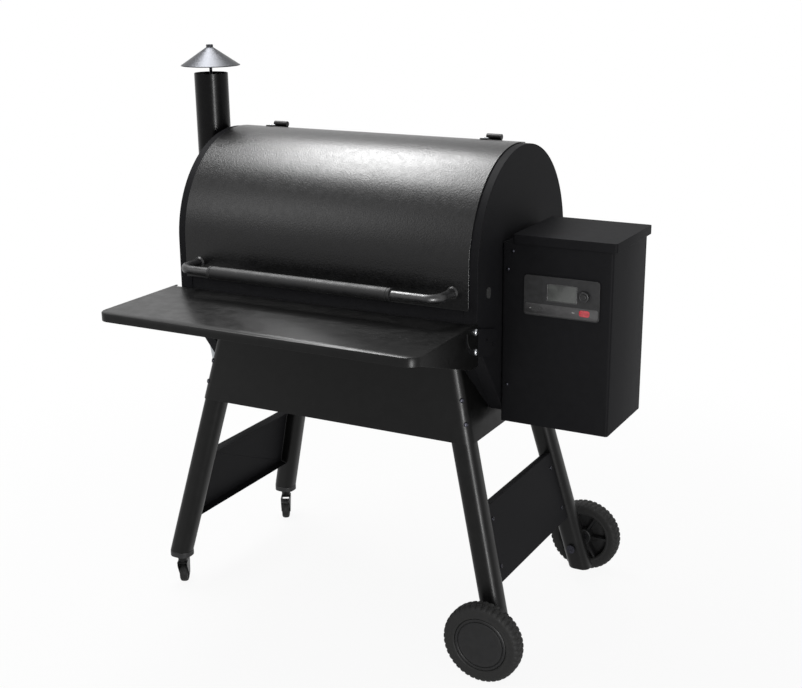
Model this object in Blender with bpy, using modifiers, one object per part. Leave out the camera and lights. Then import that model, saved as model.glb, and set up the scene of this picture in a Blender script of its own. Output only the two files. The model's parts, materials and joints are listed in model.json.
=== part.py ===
"""Pellet smoker grill: a barrel on four splayed legs, with a lid, a pellet hopper and a chimney.

Metres, +Z up. The grill is modelled with its barrel centred on X and Y and its wheels on Z = 0. A root
empty then moves the whole grill so that its bounding box stands centred on the origin. The front faces -Y
and the hopper is at +X. Run with: blender --background --python part.py
"""

import math

import bmesh
import bpy
from mathutils import Matrix, Vector

# Driving dimensions: barrel section and length
BARREL_HALF = 0.4055
ARC_R = 0.2509
ARC_Z = 0.9445
FLARE_Y = 0.2536
FLARE_Z = 0.789
FLOOR_Y = 0.1054
FLOOR_Z = 0.585
ARC_STEP = math.radians(3.75)
SHEET = 0.002
GAP = 0.0003
RIM_DEPTH = 0.0325

# Lid, its hinges and its handle
LID_HALF = 0.385
LID_RISE = 0.0005
LID_EDGE_Z = 0.859
LID_OVERLAP = 0.012
LID_REAR_STEPS = 3
HINGE_X = 0.300
HINGE_Y = 0.062
HINGE_RISE = 0.009
KNUCKLE_R = 0.007
KNUCKLE_LENGTH = 0.019
PIN_R = 0.003
HANDLE_Y = -0.330
HANDLE_Z = 0.897
HANDLE_HALF = 0.345
HANDLE_ROD_R = 0.0105
HANDLE_BEND_R = 0.032
GRIP_R = 0.0155
GRIP_HALF = 0.246
GRIP_CENTRE_X = -0.013

# Front shelf, which folds down on its upper bolts
SHELF_TOP = 0.8361
SHELF_HALF = 0.4139
SHELF_FRONT = -0.5604
SHELF_REAR = -0.2640
SHELF_CORNER = 0.030
SHELF_LIP = 0.020
SHELF_REAR_DEPTH = 0.098
SHELF_BOLT_Y = -0.277
SHELF_BOLT_Z = 0.8212
SHELF_BOLT_STEP = 0.0456
BOLT_R = 0.004

# Legs, apron and braces
LEG_LOW_Z = 0.1
LEG_LOW_X = 0.4623
LEG_LOW_Y = 0.2519
LEG_HIGH_Z = 0.533
LEG_HIGH_X = 0.3516
LEG_HIGH_Y = 0.2045
LEG_TOP_Z = 0.650
LEG_WIDE = 0.058
LEG_DEEP = 0.052
LEG_CORNER = 0.020
LEG_WALL = 0.002
WHEEL_LEG_END = 0.0365
APRON_TOP = 0.726
APRON_CLEAR = 0.0006
BRACE_LOW = 0.187
BRACE_HIGH = 0.375
BRACE_FLANGE = 0.022

# Wheels on the right, casters on the left
WHEEL_R = 0.0969
WHEEL_WIDE = 0.044
WHEEL_Y = 0.330
AXLE_R = 0.006
SPOKES = 6
CASTER_R = 0.0275
CASTER_WIDE = 0.020
CASTER_TRAIL = 0.016
CASTER_PLUG = 0.0155
FORK_TOP = 0.066
FORK_SHEET = 0.0025
CASTER_HEADING = math.radians(118)

# Hopper and its controls
HOPPER_X0 = 0.4064
HOPPER_X1 = 0.6707
HOPPER_Y0 = -0.1225
HOPPER_Y1 = 0.1065
HOPPER_Z0 = 0.5656
HOPPER_Z1 = 0.9915
HOPPER_LID_X0 = 0.4329
HOPPER_LID_X1 = 0.6798
HOPPER_LID_Y0 = -0.1279
HOPPER_LID_Y1 = 0.1090
HOPPER_LID_TOP = 1.0128
HOPPER_HINGE_Y = 0.1165
HOPPER_HINGE_Z = 1.000
BEZEL_X0 = 0.4625
BEZEL_X1 = 0.643
BEZEL_Z0 = 0.8317
BEZEL_Z1 = 0.9245
BEZEL_PROUD = 0.004
SCREEN_X0 = 0.519
SCREEN_X1 = 0.5895
SCREEN_Z0 = 0.8681
SCREEN_Z1 = 0.9077
DIAL_X = 0.6079
DIAL_Z = 0.888
DIAL_R = 0.0125
JACK_X = 0.4945
JACK_Z = 0.8487

# Chimney
CHIMNEY_X = -0.4665
CHIMNEY_Y = -0.0012
CHIMNEY_R = 0.0428
CHIMNEY_TOP = 1.3268
CHIMNEY_BOTTOM = 1.046
DUCT_Z = 1.000
DUCT_R = 0.030
CAP_R = 0.0753
CAP_RIM_Z = 1.3448
CAP_TOP_Z = 1.397

# Fire and fuel feed
AUGER_Y = -0.008
AUGER_Z = 0.6125
AUGER_TUBE_R = 0.0222
AUGER_R = 0.0185
AUGER_SHAFT_R = 0.007
AUGER_PITCH = 0.045
POT_R = 0.045
POT_TOP = 0.665
TRAY_Z = 0.7345
GRATE_Z = 0.8385
FAN_X = 0.485
FAN_Y = 0.058
FAN_Z = 0.620
FAN_R = 0.045

# Grease bucket on the left
SPOUT_Y = 0.035
SPOUT_Z = 0.715
SPOUT_R = 0.012
SPOUT_END = -0.500
BUCKET_X = -0.475
BUCKET_TOP = 0.643
BUCKET_HIGH = 0.120
BUCKET_R = 0.065
BAIL_R = 0.0017

# Round pieces have this many sides
SIDES = 20

# Where the grill's own centre lies from the centre of its bounding box
CENTRE_X = (HOPPER_LID_X1 + CHIMNEY_X - CAP_R) / 2
CENTRE_Y = (SHELF_FRONT + WHEEL_Y + WHEEL_WIDE / 2) / 2

# Slopes of the legs and the inward lean of the apron that wraps them
LEG_SLOPE_X = (LEG_LOW_X - LEG_HIGH_X) / (LEG_HIGH_Z - LEG_LOW_Z)
LEG_SLOPE_Y = (LEG_LOW_Y - LEG_HIGH_Y) / (LEG_HIGH_Z - LEG_LOW_Z)

# Finishes: colour, roughness and metallic value
FINISHES = {
    "black_powder_coat": ((0.012, 0.012, 0.014), 0.42, 0.0),
    "galvanised_steel": ((0.48, 0.49, 0.50), 0.45, 0.9),
    "bare_steel": ((0.36, 0.35, 0.34), 0.35, 0.95),
    "enamelled_steel": ((0.02, 0.02, 0.022), 0.25, 0.0),
    "black_plastic": ((0.015, 0.015, 0.016), 0.5, 0.0),
    "display_glass": ((0.22, 0.23, 0.23), 0.12, 0.0),
    "black_rubber": ((0.016, 0.016, 0.016), 0.8, 0.0),
}


def clear_scene():
    """Remove whatever the scene holds."""
    for obj in list(bpy.data.objects):
        bpy.data.objects.remove(obj, do_unlink=True)


def collection(name):
    """A collection linked to the scene."""
    group = bpy.data.collections.new(name)
    bpy.context.scene.collection.children.link(group)
    return group


clear_scene()
PARTS = collection("pellet_smoker_grill")
TOOLS = collection("cutters")


def pivot(name, place, turn=0.0, parent=None):
    """An empty on a joint's axis, turned about Z."""
    empty = bpy.data.objects.new(name, None)
    empty.empty_display_size = 0.02
    empty.location = place
    empty.rotation_euler = (0, 0, turn)
    empty.parent = parent
    PARTS.objects.link(empty)
    return empty


ROOT = pivot("grill_root", (-CENTRE_X, -CENTRE_Y, 0))


def finish(name):
    """The Principled material of one finish."""
    material = bpy.data.materials.get(name)
    if material is None:
        colour, roughness, metallic = FINISHES[name]
        material = bpy.data.materials.new(name)
        material.use_nodes = True
        shader = material.node_tree.nodes["Principled BSDF"]
        shader.inputs["Base Color"].default_value = (*colour, 1)
        shader.inputs["Roughness"].default_value = roughness
        shader.inputs["Metallic"].default_value = metallic
    return material


def add(name, mesh, look=None, place=(0, 0, 0), parent=None):
    """Put a mesh in the scene: a part when it has a finish, else a cutter."""
    obj = bpy.data.objects.new(name, mesh)
    obj.location = place
    obj.parent = parent or ROOT
    if look is None:
        obj.hide_render = True
        obj.display_type = "WIRE"
        TOOLS.objects.link(obj)
    else:
        mesh.materials.clear()
        mesh.materials.append(finish(look))
        mesh.shade_smooth()
        mesh.set_sharp_from_angle(angle=math.radians(35))
        PARTS.objects.link(obj)
    return obj


def on_pivot(obj, empty):
    """Hang a part that is modelled in the grill's frame on its pivot empty."""
    obj.parent = empty
    obj.location = Vector(obj.location) - empty.location
    return obj


def mesh_from(bm, name):
    """Close a bmesh into a new mesh."""
    mesh = bpy.data.meshes.new(name)
    bm.to_mesh(mesh)
    bm.free()
    return mesh


def box(name, low, high, look=None, parent=None, round_edge=0.0):
    """A block between two corners, with rounded edges if asked."""
    low, high = Vector(low), Vector(high)
    bm = bmesh.new()
    bmesh.ops.create_cube(bm, size=1, matrix=Matrix.Diagonal((*(high - low), 1)))
    obj = add(name, mesh_from(bm, name), look, (low + high) / 2, parent)
    if round_edge:
        bevel(obj, round_edge)
    return obj


def bevel(obj, width, segments=2):
    """Round the sharp edges of a part."""
    mod = obj.modifiers.new("rounded_edges", "BEVEL")
    mod.width = width
    mod.segments = segments
    mod.limit_method = "ANGLE"
    mod.angle_limit = math.radians(40)


def rod(name, start, end, radius, look=None, parent=None, sides=SIDES, end_radius=None):
    """A straight round bar between two points."""
    start, end = Vector(start), Vector(end)
    along = end - start
    bm = bmesh.new()
    turn = along.to_track_quat("Z", "Y").to_matrix().to_4x4()
    last = radius if end_radius is None else end_radius
    bmesh.ops.create_cone(bm, cap_ends=True, segments=sides, radius1=radius, radius2=last,
                          depth=along.length, matrix=turn)
    return add(name, mesh_from(bm, name), look, (start + end) / 2, parent)


def curve_mesh(name, curve, turn):
    """Turn a curve into a welded mesh."""
    holder = bpy.data.objects.new(name, curve)
    TOOLS.objects.link(holder)
    graph = bpy.context.evaluated_depsgraph_get()
    mesh = bpy.data.meshes.new_from_object(holder.evaluated_get(graph))
    bpy.data.objects.remove(holder)
    bm = bmesh.new()
    bm.from_mesh(mesh)
    bpy.data.meshes.remove(mesh)
    bmesh.ops.remove_doubles(bm, verts=bm.verts, dist=1e-6)
    bmesh.ops.transform(bm, matrix=turn, verts=bm.verts)
    return mesh_from(bm, name)


# How a flat outline is stood up: along X its points are (y, z), along Y (x, z) and along Z (x, y)
STAND = {
    "X": Matrix(((0, 0, 1, 0), (1, 0, 0, 0), (0, 1, 0, 0), (0, 0, 0, 1))),
    "Y": Matrix(((1, 0, 0, 0), (0, 0, -1, 0), (0, 1, 0, 0), (0, 0, 0, 1))),
    "Z": Matrix.Identity(4),
}


def sheet(name, outline, axis, low, high, look=None, holes=(), parent=None):
    """A flat outline with holes, as thick as from low to high along an axis."""
    curve = bpy.data.curves.new(name, "CURVE")
    curve.dimensions = "2D"
    curve.fill_mode = "BOTH"
    curve.extrude = (high - low) / 2
    for points in (outline, *holes):
        spline = curve.splines.new("POLY")
        spline.points.add(len(points) - 1)
        for point, (u, v) in zip(spline.points, points):
            point.co = (u, v, 0, 1)
        spline.use_cyclic_u = True
    mesh = curve_mesh(name, curve, STAND[axis])
    middle = [(low + high) / 2 if axis == letter else 0 for letter in "XYZ"]
    return add(name, mesh, look, middle, parent)


def wire(name, points, radius, look=None, parent=None, resolution=2):
    """A bent round bar through the points."""
    curve = bpy.data.curves.new(name, "CURVE")
    curve.dimensions = "3D"
    curve.bevel_depth = radius
    curve.bevel_resolution = resolution
    curve.use_fill_caps = True
    spline = curve.splines.new("POLY")
    spline.points.add(len(points) - 1)
    for point, place in zip(spline.points, points):
        point.co = (*place, 1)
    return add(name, curve_mesh(name, curve, Matrix.Identity(4)), look, parent=parent)


def turned(name, profile, place, axis="Z", look=None, parent=None, sides=SIDES, closed=False):
    """A profile of (radius, height) points, run down its outer side, turned about an axis."""
    bm = bmesh.new()
    verts = [bm.verts.new((radius, 0, height)) for radius, height in profile]
    for first, second in zip(verts, verts[1:]):
        bm.edges.new((first, second))
    if closed:
        bm.edges.new((verts[-1], verts[0]))
    obj = add(name, mesh_from(bm, name), look, place, parent)
    mod = obj.modifiers.new("turned", "SCREW")
    mod.steps = sides
    mod.render_steps = sides
    mod.use_merge_vertices = True
    mod.merge_threshold = 1e-5
    mod.use_smooth_shade = True
    lay = {"X": (0, math.pi / 2, 0), "Y": (-math.pi / 2, 0, 0), "Z": (0, 0, 0)}
    obj.rotation_euler = lay[axis]
    return obj


def combine(obj, operation, *others):
    """Boolean each of the others into a part."""
    for other in others:
        mod = obj.modifiers.new(other.name, "BOOLEAN")
        mod.operation = operation
        mod.object = other
        mod.solver = "EXACT"
    return obj


def cut(obj, *others):
    """Cut the others out of a part."""
    return combine(obj, "DIFFERENCE", *others)


def fuse(obj, *others):
    """Weld the others onto a part."""
    return combine(obj, "UNION", *others)


def arc(centre, radius, first, last, count):
    """Points along an arc, angles in degrees."""
    angles = [math.radians(first + (last - first) * i / count) for i in range(count + 1)]
    return [(centre[0] + radius * math.cos(a), centre[1] + radius * math.sin(a)) for a in angles]


def circle(centre, radius, count=SIDES):
    """A closed round outline."""
    return arc(centre, radius, 0, 360, count)[:-1]


def rounded(low, high, radius, count=4):
    """A rectangle with round corners."""
    (x0, y0), (x1, y1) = low, high
    corners = ((x1, y1, 0), (x0, y1, 90), (x0, y0, 180), (x1, y0, 270))
    points = []
    for x, y, turn in corners:
        centre = (x - radius if x == x1 else x + radius, y - radius if y == y1 else y + radius)
        points += arc(centre, radius, turn, turn + 90, count)
    return points


def slot(centre, radius, half_width, first, last, count=8):
    """A curved slot with round ends, along an arc."""
    begin = arc(centre, radius, first, first, 1)[0]
    end = arc(centre, radius, last, last, 1)[0]
    outer = arc(centre, radius + half_width, first, last, count)
    inner = arc(centre, radius - half_width, last, first, count)
    tip = arc(end, half_width, last, last + 180, 6)[1:-1]
    tail = arc(begin, half_width, first + 180, first + 360, 6)[1:-1]
    return outer + tip + inner + tail


def barrel_side(offset, first_step=0):
    """The barrel's front half from its top down to its floor, moved outward by an offset.

    The corners move along their mitres, so that the walls keep a steady thickness.
    """
    steps = round(math.pi / 2 / ARC_STEP)
    radius = ARC_R + offset
    points = [(-radius * math.sin(i * ARC_STEP), ARC_Z + radius * math.cos(i * ARC_STEP))
              for i in range(first_step, steps + 1)]
    wall = Vector((FLARE_Y - FLOOR_Y, FLARE_Z - FLOOR_Z)).normalized()
    out_y, out_z = wall.y, -wall.x
    points.append((-FLARE_Y - offset, FLARE_Z - offset * (1 - out_y) / -out_z))
    points.append((-FLOOR_Y - offset * (1 + out_z) / out_y, FLOOR_Z - offset))
    return points


def mirrored(points):
    """The same points on the other side, in the opposite order."""
    return [(-y, z) for y, z in reversed(points)]


def barrel_outline(offset):
    """The barrel's whole section."""
    front = barrel_side(offset)
    return front + mirrored(front)[:-1]


def side_y(z, offset):
    """Where the barrel's upright side stands at a height between its arc and its flare."""
    share = (ARC_Z - z) / (ARC_Z - FLARE_Z)
    return -(ARC_R + share * (FLARE_Y - ARC_R)) - offset


def slope_y(z, offset):
    """Where the barrel's sloping lower wall stands at a height."""
    (y0, z0), (y1, z1) = barrel_side(offset)[-2:]
    return y0 + (y1 - y0) * (z - z0) / (z1 - z0)


SHELL_OUT = -SHEET - GAP
SHELL_IN = SHELL_OUT - SHEET
FLOOR_IN = FLOOR_Z - SHELL_IN
END_PLATE = 0.003
END_IN = BARREL_HALF - END_PLATE


def make_barrel():
    """The trough of the barrel, with two ledges for the grates."""
    lip = LID_EDGE_Z + LID_OVERLAP

    def run(offset):
        front = barrel_side(offset, 2)[-2:]
        rear = [(-y, z) for y, z in barrel_side(offset, 2)]
        return rear + list(reversed(front)) + [(side_y(lip, offset), lip)]

    half = END_IN - GAP
    shell = sheet("barrel_shell", run(SHELL_OUT) + list(reversed(run(SHELL_IN))), "X", -half, half,
                  "black_powder_coat")
    ledge_y = -side_y(GRATE_Z, SHELL_IN)
    for sign in (-1, 1):
        y0, y1 = sorted((sign * (ledge_y - 0.014), sign * (ledge_y + SHEET / 2)))
        fuse(shell, box(f"grate_ledge_{sign}", (-half + 0.01, y0, GRATE_Z - 0.0065),
                        (half - 0.01, y1, GRATE_Z - GAP)))


def make_end_panels():
    """A pan at each end of the barrel: a plate with a rim that the lid closes over."""
    for name, sign in (("left_end_panel", -1), ("right_end_panel", 1)):
        inner, outer = sorted((sign * (BARREL_HALF - RIM_DEPTH), sign * BARREL_HALF))
        holes = [circle((AUGER_Y, AUGER_Z), AUGER_TUBE_R + GAP)]
        if sign < 0:
            holes = [circle((CHIMNEY_Y, DUCT_Z), DUCT_R), circle((SPOUT_Y, SPOUT_Z), SPOUT_R + GAP)]
        panel = sheet(name, barrel_outline(0), "X", inner, outer, "black_powder_coat", holes)
        low, high = sorted((sign * (BARREL_HALF - RIM_DEPTH - 0.01), sign * END_IN))
        cut(panel, sheet(f"{name}_hollow", barrel_outline(-SHEET), "X", low, high))


def make_lid():
    """The lid's curved sheet, from its hinge over the top to its front edge."""
    empty = pivot("lid_pivot", (0, HINGE_Y, hinge_z()), parent=ROOT)

    def run(offset):
        steps = round(math.pi / 2 / ARC_STEP)
        radius = ARC_R + offset
        points = [(-radius * math.sin(i * ARC_STEP), ARC_Z + radius * math.cos(i * ARC_STEP))
                  for i in range(-LID_REAR_STEPS, steps + 1)]
        return points + [(side_y(LID_EDGE_Z, offset), LID_EDGE_Z)]

    lid = sheet("lid_shell", run(LID_RISE + SHEET) + list(reversed(run(LID_RISE))), "X",
                -LID_HALF, LID_HALF, "black_powder_coat")
    on_pivot(lid, empty)
    make_handle(empty)
    for side, sign in (("left", -1), ("right", 1)):
        make_hinge(side, sign * HINGE_X, empty)


def hinge_z():
    """The height of the lid's hinge axis, above the lid's sheet."""
    return ARC_Z + math.sqrt((ARC_R + LID_RISE + SHEET) ** 2 - HINGE_Y ** 2) + HINGE_RISE


def ring_strip(low, high, first_y, last_y, count=5):
    """A strip of the barrel's round section between two radii, from one y to another."""
    angles = [math.degrees(math.acos(y / low)) for y in (first_y, last_y)]
    return arc((0, ARC_Z), low, *angles, count) + arc((0, ARC_Z), high, *reversed(angles), count)


def make_hinge(side, x, lid_pivot):
    """One hinge: a leaf with a knuckle on the lid, and one with a knuckle and a pin on the barrel."""
    axis_z = hinge_z()
    lid_out = ARC_R + LID_RISE + SHEET + GAP
    shell_out = ARC_R + SHELL_OUT + GAP
    half_gap = GAP / 2
    knuckle = circle((HINGE_Y, axis_z), KNUCKLE_R, 16)
    bore = [circle((HINGE_Y, axis_z), PIN_R + GAP, 16)]
    low, high = x - KNUCKLE_LENGTH, x - half_gap
    leaf = sheet(f"lid_hinge_{side}", knuckle, "X", low, high, "black_powder_coat", bore)
    tongue = ring_strip(lid_out, lid_out + 0.0026, 0.020, HINGE_Y - 0.002)
    fuse(leaf, sheet(f"lid_tongue_{side}", tongue, "X", low, high))
    on_pivot(leaf, lid_pivot)

    low, high = x + half_gap, x + KNUCKLE_LENGTH
    body = sheet(f"body_hinge_{side}", knuckle, "X", low, high, "black_powder_coat")
    tongue = ring_strip(shell_out, shell_out + 0.003, HINGE_Y + 0.034, HINGE_Y - 0.005)
    web_low = ARC_Z + math.sqrt(shell_out ** 2 - HINGE_Y ** 2) + 0.001
    pin = rod(f"hinge_pin_{side}", (x - KNUCKLE_LENGTH, HINGE_Y, axis_z), (high - 0.002, HINGE_Y, axis_z),
              PIN_R, sides=16)
    fuse(body, sheet(f"body_tongue_{side}", tongue, "X", low, high),
         box(f"hinge_web_{side}", (low + 0.0005, HINGE_Y - 0.0035, web_low),
             (high - 0.0005, HINGE_Y + 0.0035, axis_z)), pin)


def make_handle(lid_pivot):
    """A bent rod on the lid, with a sleeve to grip."""
    start_y = side_y(HANDLE_Z, LID_RISE + SHEET + GAP)
    bend = HANDLE_BEND_R
    corner = arc((HANDLE_HALF - bend, HANDLE_Y + bend), bend, 0, -90, 6)
    right = [(HANDLE_HALF, start_y)] + corner
    path = right + [(-x, y) for x, y in reversed(right)]
    rod_part = wire("lid_handle_rod", [(x, y, HANDLE_Z) for x, y in path], HANDLE_ROD_R,
                    "black_powder_coat", resolution=3)
    on_pivot(rod_part, lid_pivot)
    bore = HANDLE_ROD_R + GAP
    profile = [(bore, GRIP_HALF), (GRIP_R - 0.002, GRIP_HALF), (GRIP_R, GRIP_HALF - 0.002),
               (GRIP_R, 0.002 - GRIP_HALF), (GRIP_R - 0.002, -GRIP_HALF), (bore, -GRIP_HALF)]
    grip = turned("lid_handle_grip", profile, (GRIP_CENTRE_X, HANDLE_Y, HANDLE_Z), "X", "black_plastic",
                  closed=True)
    on_pivot(grip, lid_pivot)


def make_cooking_inside():
    """Grates, drip tray and heat baffle in the cooking chamber."""
    grate_y = -side_y(GRATE_Z, SHELL_IN) - 0.0015
    bar = 0.006
    for name, sign in (("grate_left", -1), ("grate_right", 1)):
        x0, x1 = sorted((sign * 0.0015, sign * (END_IN - 0.0035)))
        count = 15
        step = (x1 - x0 - 2 * bar) / count
        slots = [(x0 + 1.5 * bar + i * step, x0 + bar / 2 + (i + 1) * step) for i in range(count)]
        end = grate_y - 0.02
        holes = [[(near, -end), (far, -end), (far, end), (near, end)] for near, far in slots]
        sheet(name, rounded((x0, -grate_y), (x1, grate_y), 0.004, 2), "Z", GRATE_Z, GRATE_Z + bar,
              "enamelled_steel", holes)

    tray_y = -slope_y(TRAY_Z, SHELL_IN) - GAP
    thick = 0.0016
    edge = TRAY_Z + 0.018
    profile = [(-tray_y, TRAY_Z), (tray_y, TRAY_Z), (tray_y, edge), (tray_y - thick, edge),
               (tray_y - thick, TRAY_Z + thick), (thick - tray_y, TRAY_Z + thick), (thick - tray_y, edge),
               (-tray_y, edge)]
    sheet("drip_tray", profile, "X", -0.385, 0.385, "bare_steel")

    top, half = TRAY_Z - GAP, 0.085
    foot = FLOOR_IN + GAP
    profile = [(-half, foot), (-half, top - 0.03), (-half + 0.03, top), (half - 0.03, top),
               (half, top - 0.03), (half, foot), (half - SHEET, foot), (half - SHEET, top - 0.031),
               (half - 0.031, top - SHEET), (0.031 - half, top - SHEET), (SHEET - half, top - 0.031),
               (SHEET - half, foot)]
    sheet("heat_baffle", profile, "X", -0.13, 0.13, "bare_steel")


def make_fire():
    """Fire pot, igniter, and the auger in its tube with its motor and fan."""
    foot = FLOOR_IN + GAP
    high = POT_TOP - foot
    wall = 0.003
    profile = [(POT_R - wall, high), (POT_R, high), (POT_R, 0), (0, 0)]
    profile = [(0, wall), (POT_R - wall, wall)] + profile
    pot = turned("fire_pot", profile, (0, AUGER_Y, foot), "Z", "bare_steel")
    feed = rod("pot_feed", (POT_R - 0.02, AUGER_Y, AUGER_Z), (POT_R + 0.02, AUGER_Y, AUGER_Z),
               AUGER_TUBE_R - 0.005)
    igniter_y = AUGER_Y + 0.030
    igniter_z = foot + 0.0052
    cut(pot, feed)

    igniter_x = math.sqrt(POT_R ** 2 - 0.030 ** 2) + 0.005
    rod("igniter_rod", (igniter_x, igniter_y, igniter_z), (END_IN - GAP, igniter_y, igniter_z), 0.005,
        "bare_steel", sides=12)

    tube_x0, tube_x1 = POT_R + 0.0006, 0.585
    bore = AUGER_TUBE_R - 0.0015
    profile = [(bore, tube_x1), (AUGER_TUBE_R, tube_x1), (AUGER_TUBE_R, tube_x0), (bore, tube_x0)]
    tube = turned("auger_tube", profile, (0, AUGER_Y, AUGER_Z), "X", "bare_steel", closed=True)
    cut(tube, box("tube_mouth", (HOPPER_MIDDLE_X - 0.022, AUGER_Y - 0.014, AUGER_Z + 0.005),
                  (HOPPER_MIDDLE_X + 0.022, AUGER_Y + 0.014, AUGER_Z + 0.05)))
    make_auger(tube_x0 + 0.004, tube_x1 + 0.012)

    motor_x = tube_x1 + 0.0003
    motor = box("auger_motor", (motor_x, AUGER_Y - 0.032, HOPPER_Z0 + SHEET + GAP),
                (motor_x + 0.024, AUGER_Y + 0.032, AUGER_Z + 0.032), "black_plastic", round_edge=0.003)
    fuse(motor, rod("motor_can", (motor_x + 0.02, AUGER_Y, AUGER_Z), (motor_x + 0.064, AUGER_Y, AUGER_Z), 0.026))
    cut(motor, rod("motor_socket", (motor_x - 0.01, AUGER_Y, AUGER_Z), (motor_x + 0.0125, AUGER_Y, AUGER_Z),
                   AUGER_SHAFT_R + GAP))


def make_auger(x0, x1):
    """The feed screw: a shaft with one flight, as a section that turns once a pitch along X."""
    empty = pivot("auger_pivot", (0, AUGER_Y, AUGER_Z), parent=ROOT)
    half_flight = 26
    section = arc((0, 0), AUGER_SHAFT_R, half_flight, 360 - half_flight, 3)
    section += arc((0, 0), AUGER_R, -half_flight, half_flight, 1)
    flight_end = x1 - 0.014
    steps_per_turn = 7
    rings = round((flight_end - x0) / AUGER_PITCH * steps_per_turn)
    length = flight_end - x0
    bm = bmesh.new()
    ring = [bm.verts.new((x0, y, z)) for y, z in section]
    edges = [bm.edges.new((ring[i - 1], ring[i])) for i in range(len(ring))]
    bmesh.ops.spin(bm, geom=ring + edges, axis=(1, 0, 0), dvec=(length / rings, 0, 0), steps=rings,
                   angle=math.tau * length / AUGER_PITCH)
    bmesh.ops.holes_fill(bm, edges=bm.edges)
    bmesh.ops.recalc_face_normals(bm, faces=bm.faces)
    screw = add("auger_screw", mesh_from(bm, "auger_screw"), "bare_steel", (0, AUGER_Y, AUGER_Z))
    fuse(screw, rod("auger_shaft", (flight_end - 0.01, AUGER_Y, AUGER_Z), (x1, AUGER_Y, AUGER_Z),
                    AUGER_SHAFT_R - 0.0004))
    on_pivot(screw, empty)


HOPPER_MIDDLE_X = (HOPPER_X0 + HOPPER_X1) / 2
HOPPER_MIDDLE_Y = (HOPPER_Y0 + HOPPER_Y1) / 2


def make_fan():
    """A small blower beside the auger: a drum housing with an inlet and an outlet, and its impeller."""
    deep, wall = 0.050, 0.003
    profile = [(0, deep / 2), (FAN_R, deep / 2), (FAN_R, -deep / 2), (0.022, -deep / 2),
               (0.022, wall - deep / 2), (FAN_R - wall, wall - deep / 2), (FAN_R - wall, deep / 2 - wall),
               (0, deep / 2 - wall)]
    housing = turned("fan_housing", profile, (FAN_X, FAN_Y, FAN_Z), "Y", "black_plastic")
    cut(housing, box("fan_outlet", (FAN_X - FAN_R - 0.01, FAN_Y - 0.012, FAN_Z - 0.012),
                     (FAN_X - FAN_R + 0.012, FAN_Y + 0.012, FAN_Z + 0.012)))
    foot = HOPPER_Z0 + SHEET + GAP
    fuse(housing, box("fan_foot", (FAN_X - 0.02, FAN_Y - 0.018, foot),
                      (FAN_X + 0.02, FAN_Y + 0.018, FAN_Z - FAN_R + 0.0015)))
    empty = pivot("fan_pivot", (FAN_X, FAN_Y, FAN_Z), parent=ROOT)
    blades = 8
    outline = []
    for i in range(blades):
        a = 360 * i / blades
        outline += arc((FAN_X, FAN_Z), 0.012, a - 16, a - 8, 1)
        outline += arc((FAN_X, FAN_Z), 0.036, a + 6, a + 10, 1)
        outline += arc((FAN_X, FAN_Z), 0.012, a + 8, a + 16, 1)
    half = deep / 2 - wall - 0.0008
    wheel = sheet("fan_impeller", outline, "Y", FAN_Y - half, FAN_Y + half, "black_plastic")
    on_pivot(wheel, empty)


def make_hopper():
    """The hopper's cabinet with its funnel, lid and power inlet."""
    x0, x1, y0, y1, z0, z1 = HOPPER_X0, HOPPER_X1, HOPPER_Y0, HOPPER_Y1, HOPPER_Z0, HOPPER_Z1
    cabinet = sheet("hopper_shell", rounded((x0, y0), (x1, y1), 0.006, 3), "Z", z0, z1, "black_powder_coat")
    mouth_in = 0.014
    inside = sheet("hopper_hollow", rounded((x0 + SHEET, y0 + SHEET), (x1 - SHEET, y1 - SHEET), 0.002, 2), "Z",
                   z0 + SHEET, z1 - SHEET)
    mouth = box("hopper_mouth", (HOPPER_LID_X0 + mouth_in, y0 + mouth_in, z1 - 0.01),
                (x1 - mouth_in, y1 - mouth_in, z1 + 0.01))
    window = box("bezel_window", (BEZEL_X0 + 0.012, y0 - 0.01, BEZEL_Z0 + 0.012),
                 (BEZEL_X1 - 0.012, y0 + 0.01, BEZEL_Z1 - 0.012))
    way_in = rod("auger_way", (x0 - 0.01, AUGER_Y, AUGER_Z), (x0 + 0.01, AUGER_Y, AUGER_Z), AUGER_TUBE_R + GAP)
    inlet = inlet_outline(0)
    inlet_way = sheet("inlet_way", inlet, "Y", y1 - 0.01, y1 + 0.01)
    cut(cabinet, inside, mouth, window, way_in, inlet_way)
    ear_half, ear = 0.006, 0.055
    for sign in (-1, 1):
        x = HOPPER_MIDDLE_X + sign * ear
        plate = [(y1 - SHEET / 2, HOPPER_HINGE_Z - 0.030), (y1 + 0.003, HOPPER_HINGE_Z - 0.030)]
        plate += arc((HOPPER_HINGE_Y, HOPPER_HINGE_Z), 0.005, -60, 150, 8)
        plate += [(y1 + 0.0036, HOPPER_HINGE_Z - 0.012), (y1 - SHEET / 2, HOPPER_HINGE_Z - 0.012)]
        fuse(cabinet, sheet(f"hinge_ear_{sign}", plate, "X", x - ear_half, x + ear_half),
             rod(f"hinge_stub_{sign}", (x, HOPPER_HINGE_Y, HOPPER_HINGE_Z),
                 (x - sign * 0.014, HOPPER_HINGE_Y, HOPPER_HINGE_Z), 0.0025, sides=12))

    make_bin()
    make_hopper_lid(ear - ear_half - GAP)
    power = sheet("power_inlet", inlet_outline(-GAP), "Y", y1 - 0.016, y1 + 0.0016, "black_plastic")
    cut(power, sheet("inlet_socket", inlet_outline(-0.003), "Y", y1 - 0.010, y1 + 0.01))


def inlet_outline(offset):
    """The power inlet's outline low on the hopper's back."""
    x, z = HOPPER_X1 - 0.040, HOPPER_Z0 + 0.050
    return rounded((x - 0.0135 - offset, z - 0.010 - offset), (x + 0.0135 + offset, z + 0.010 + offset), 0.003, 2)


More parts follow.
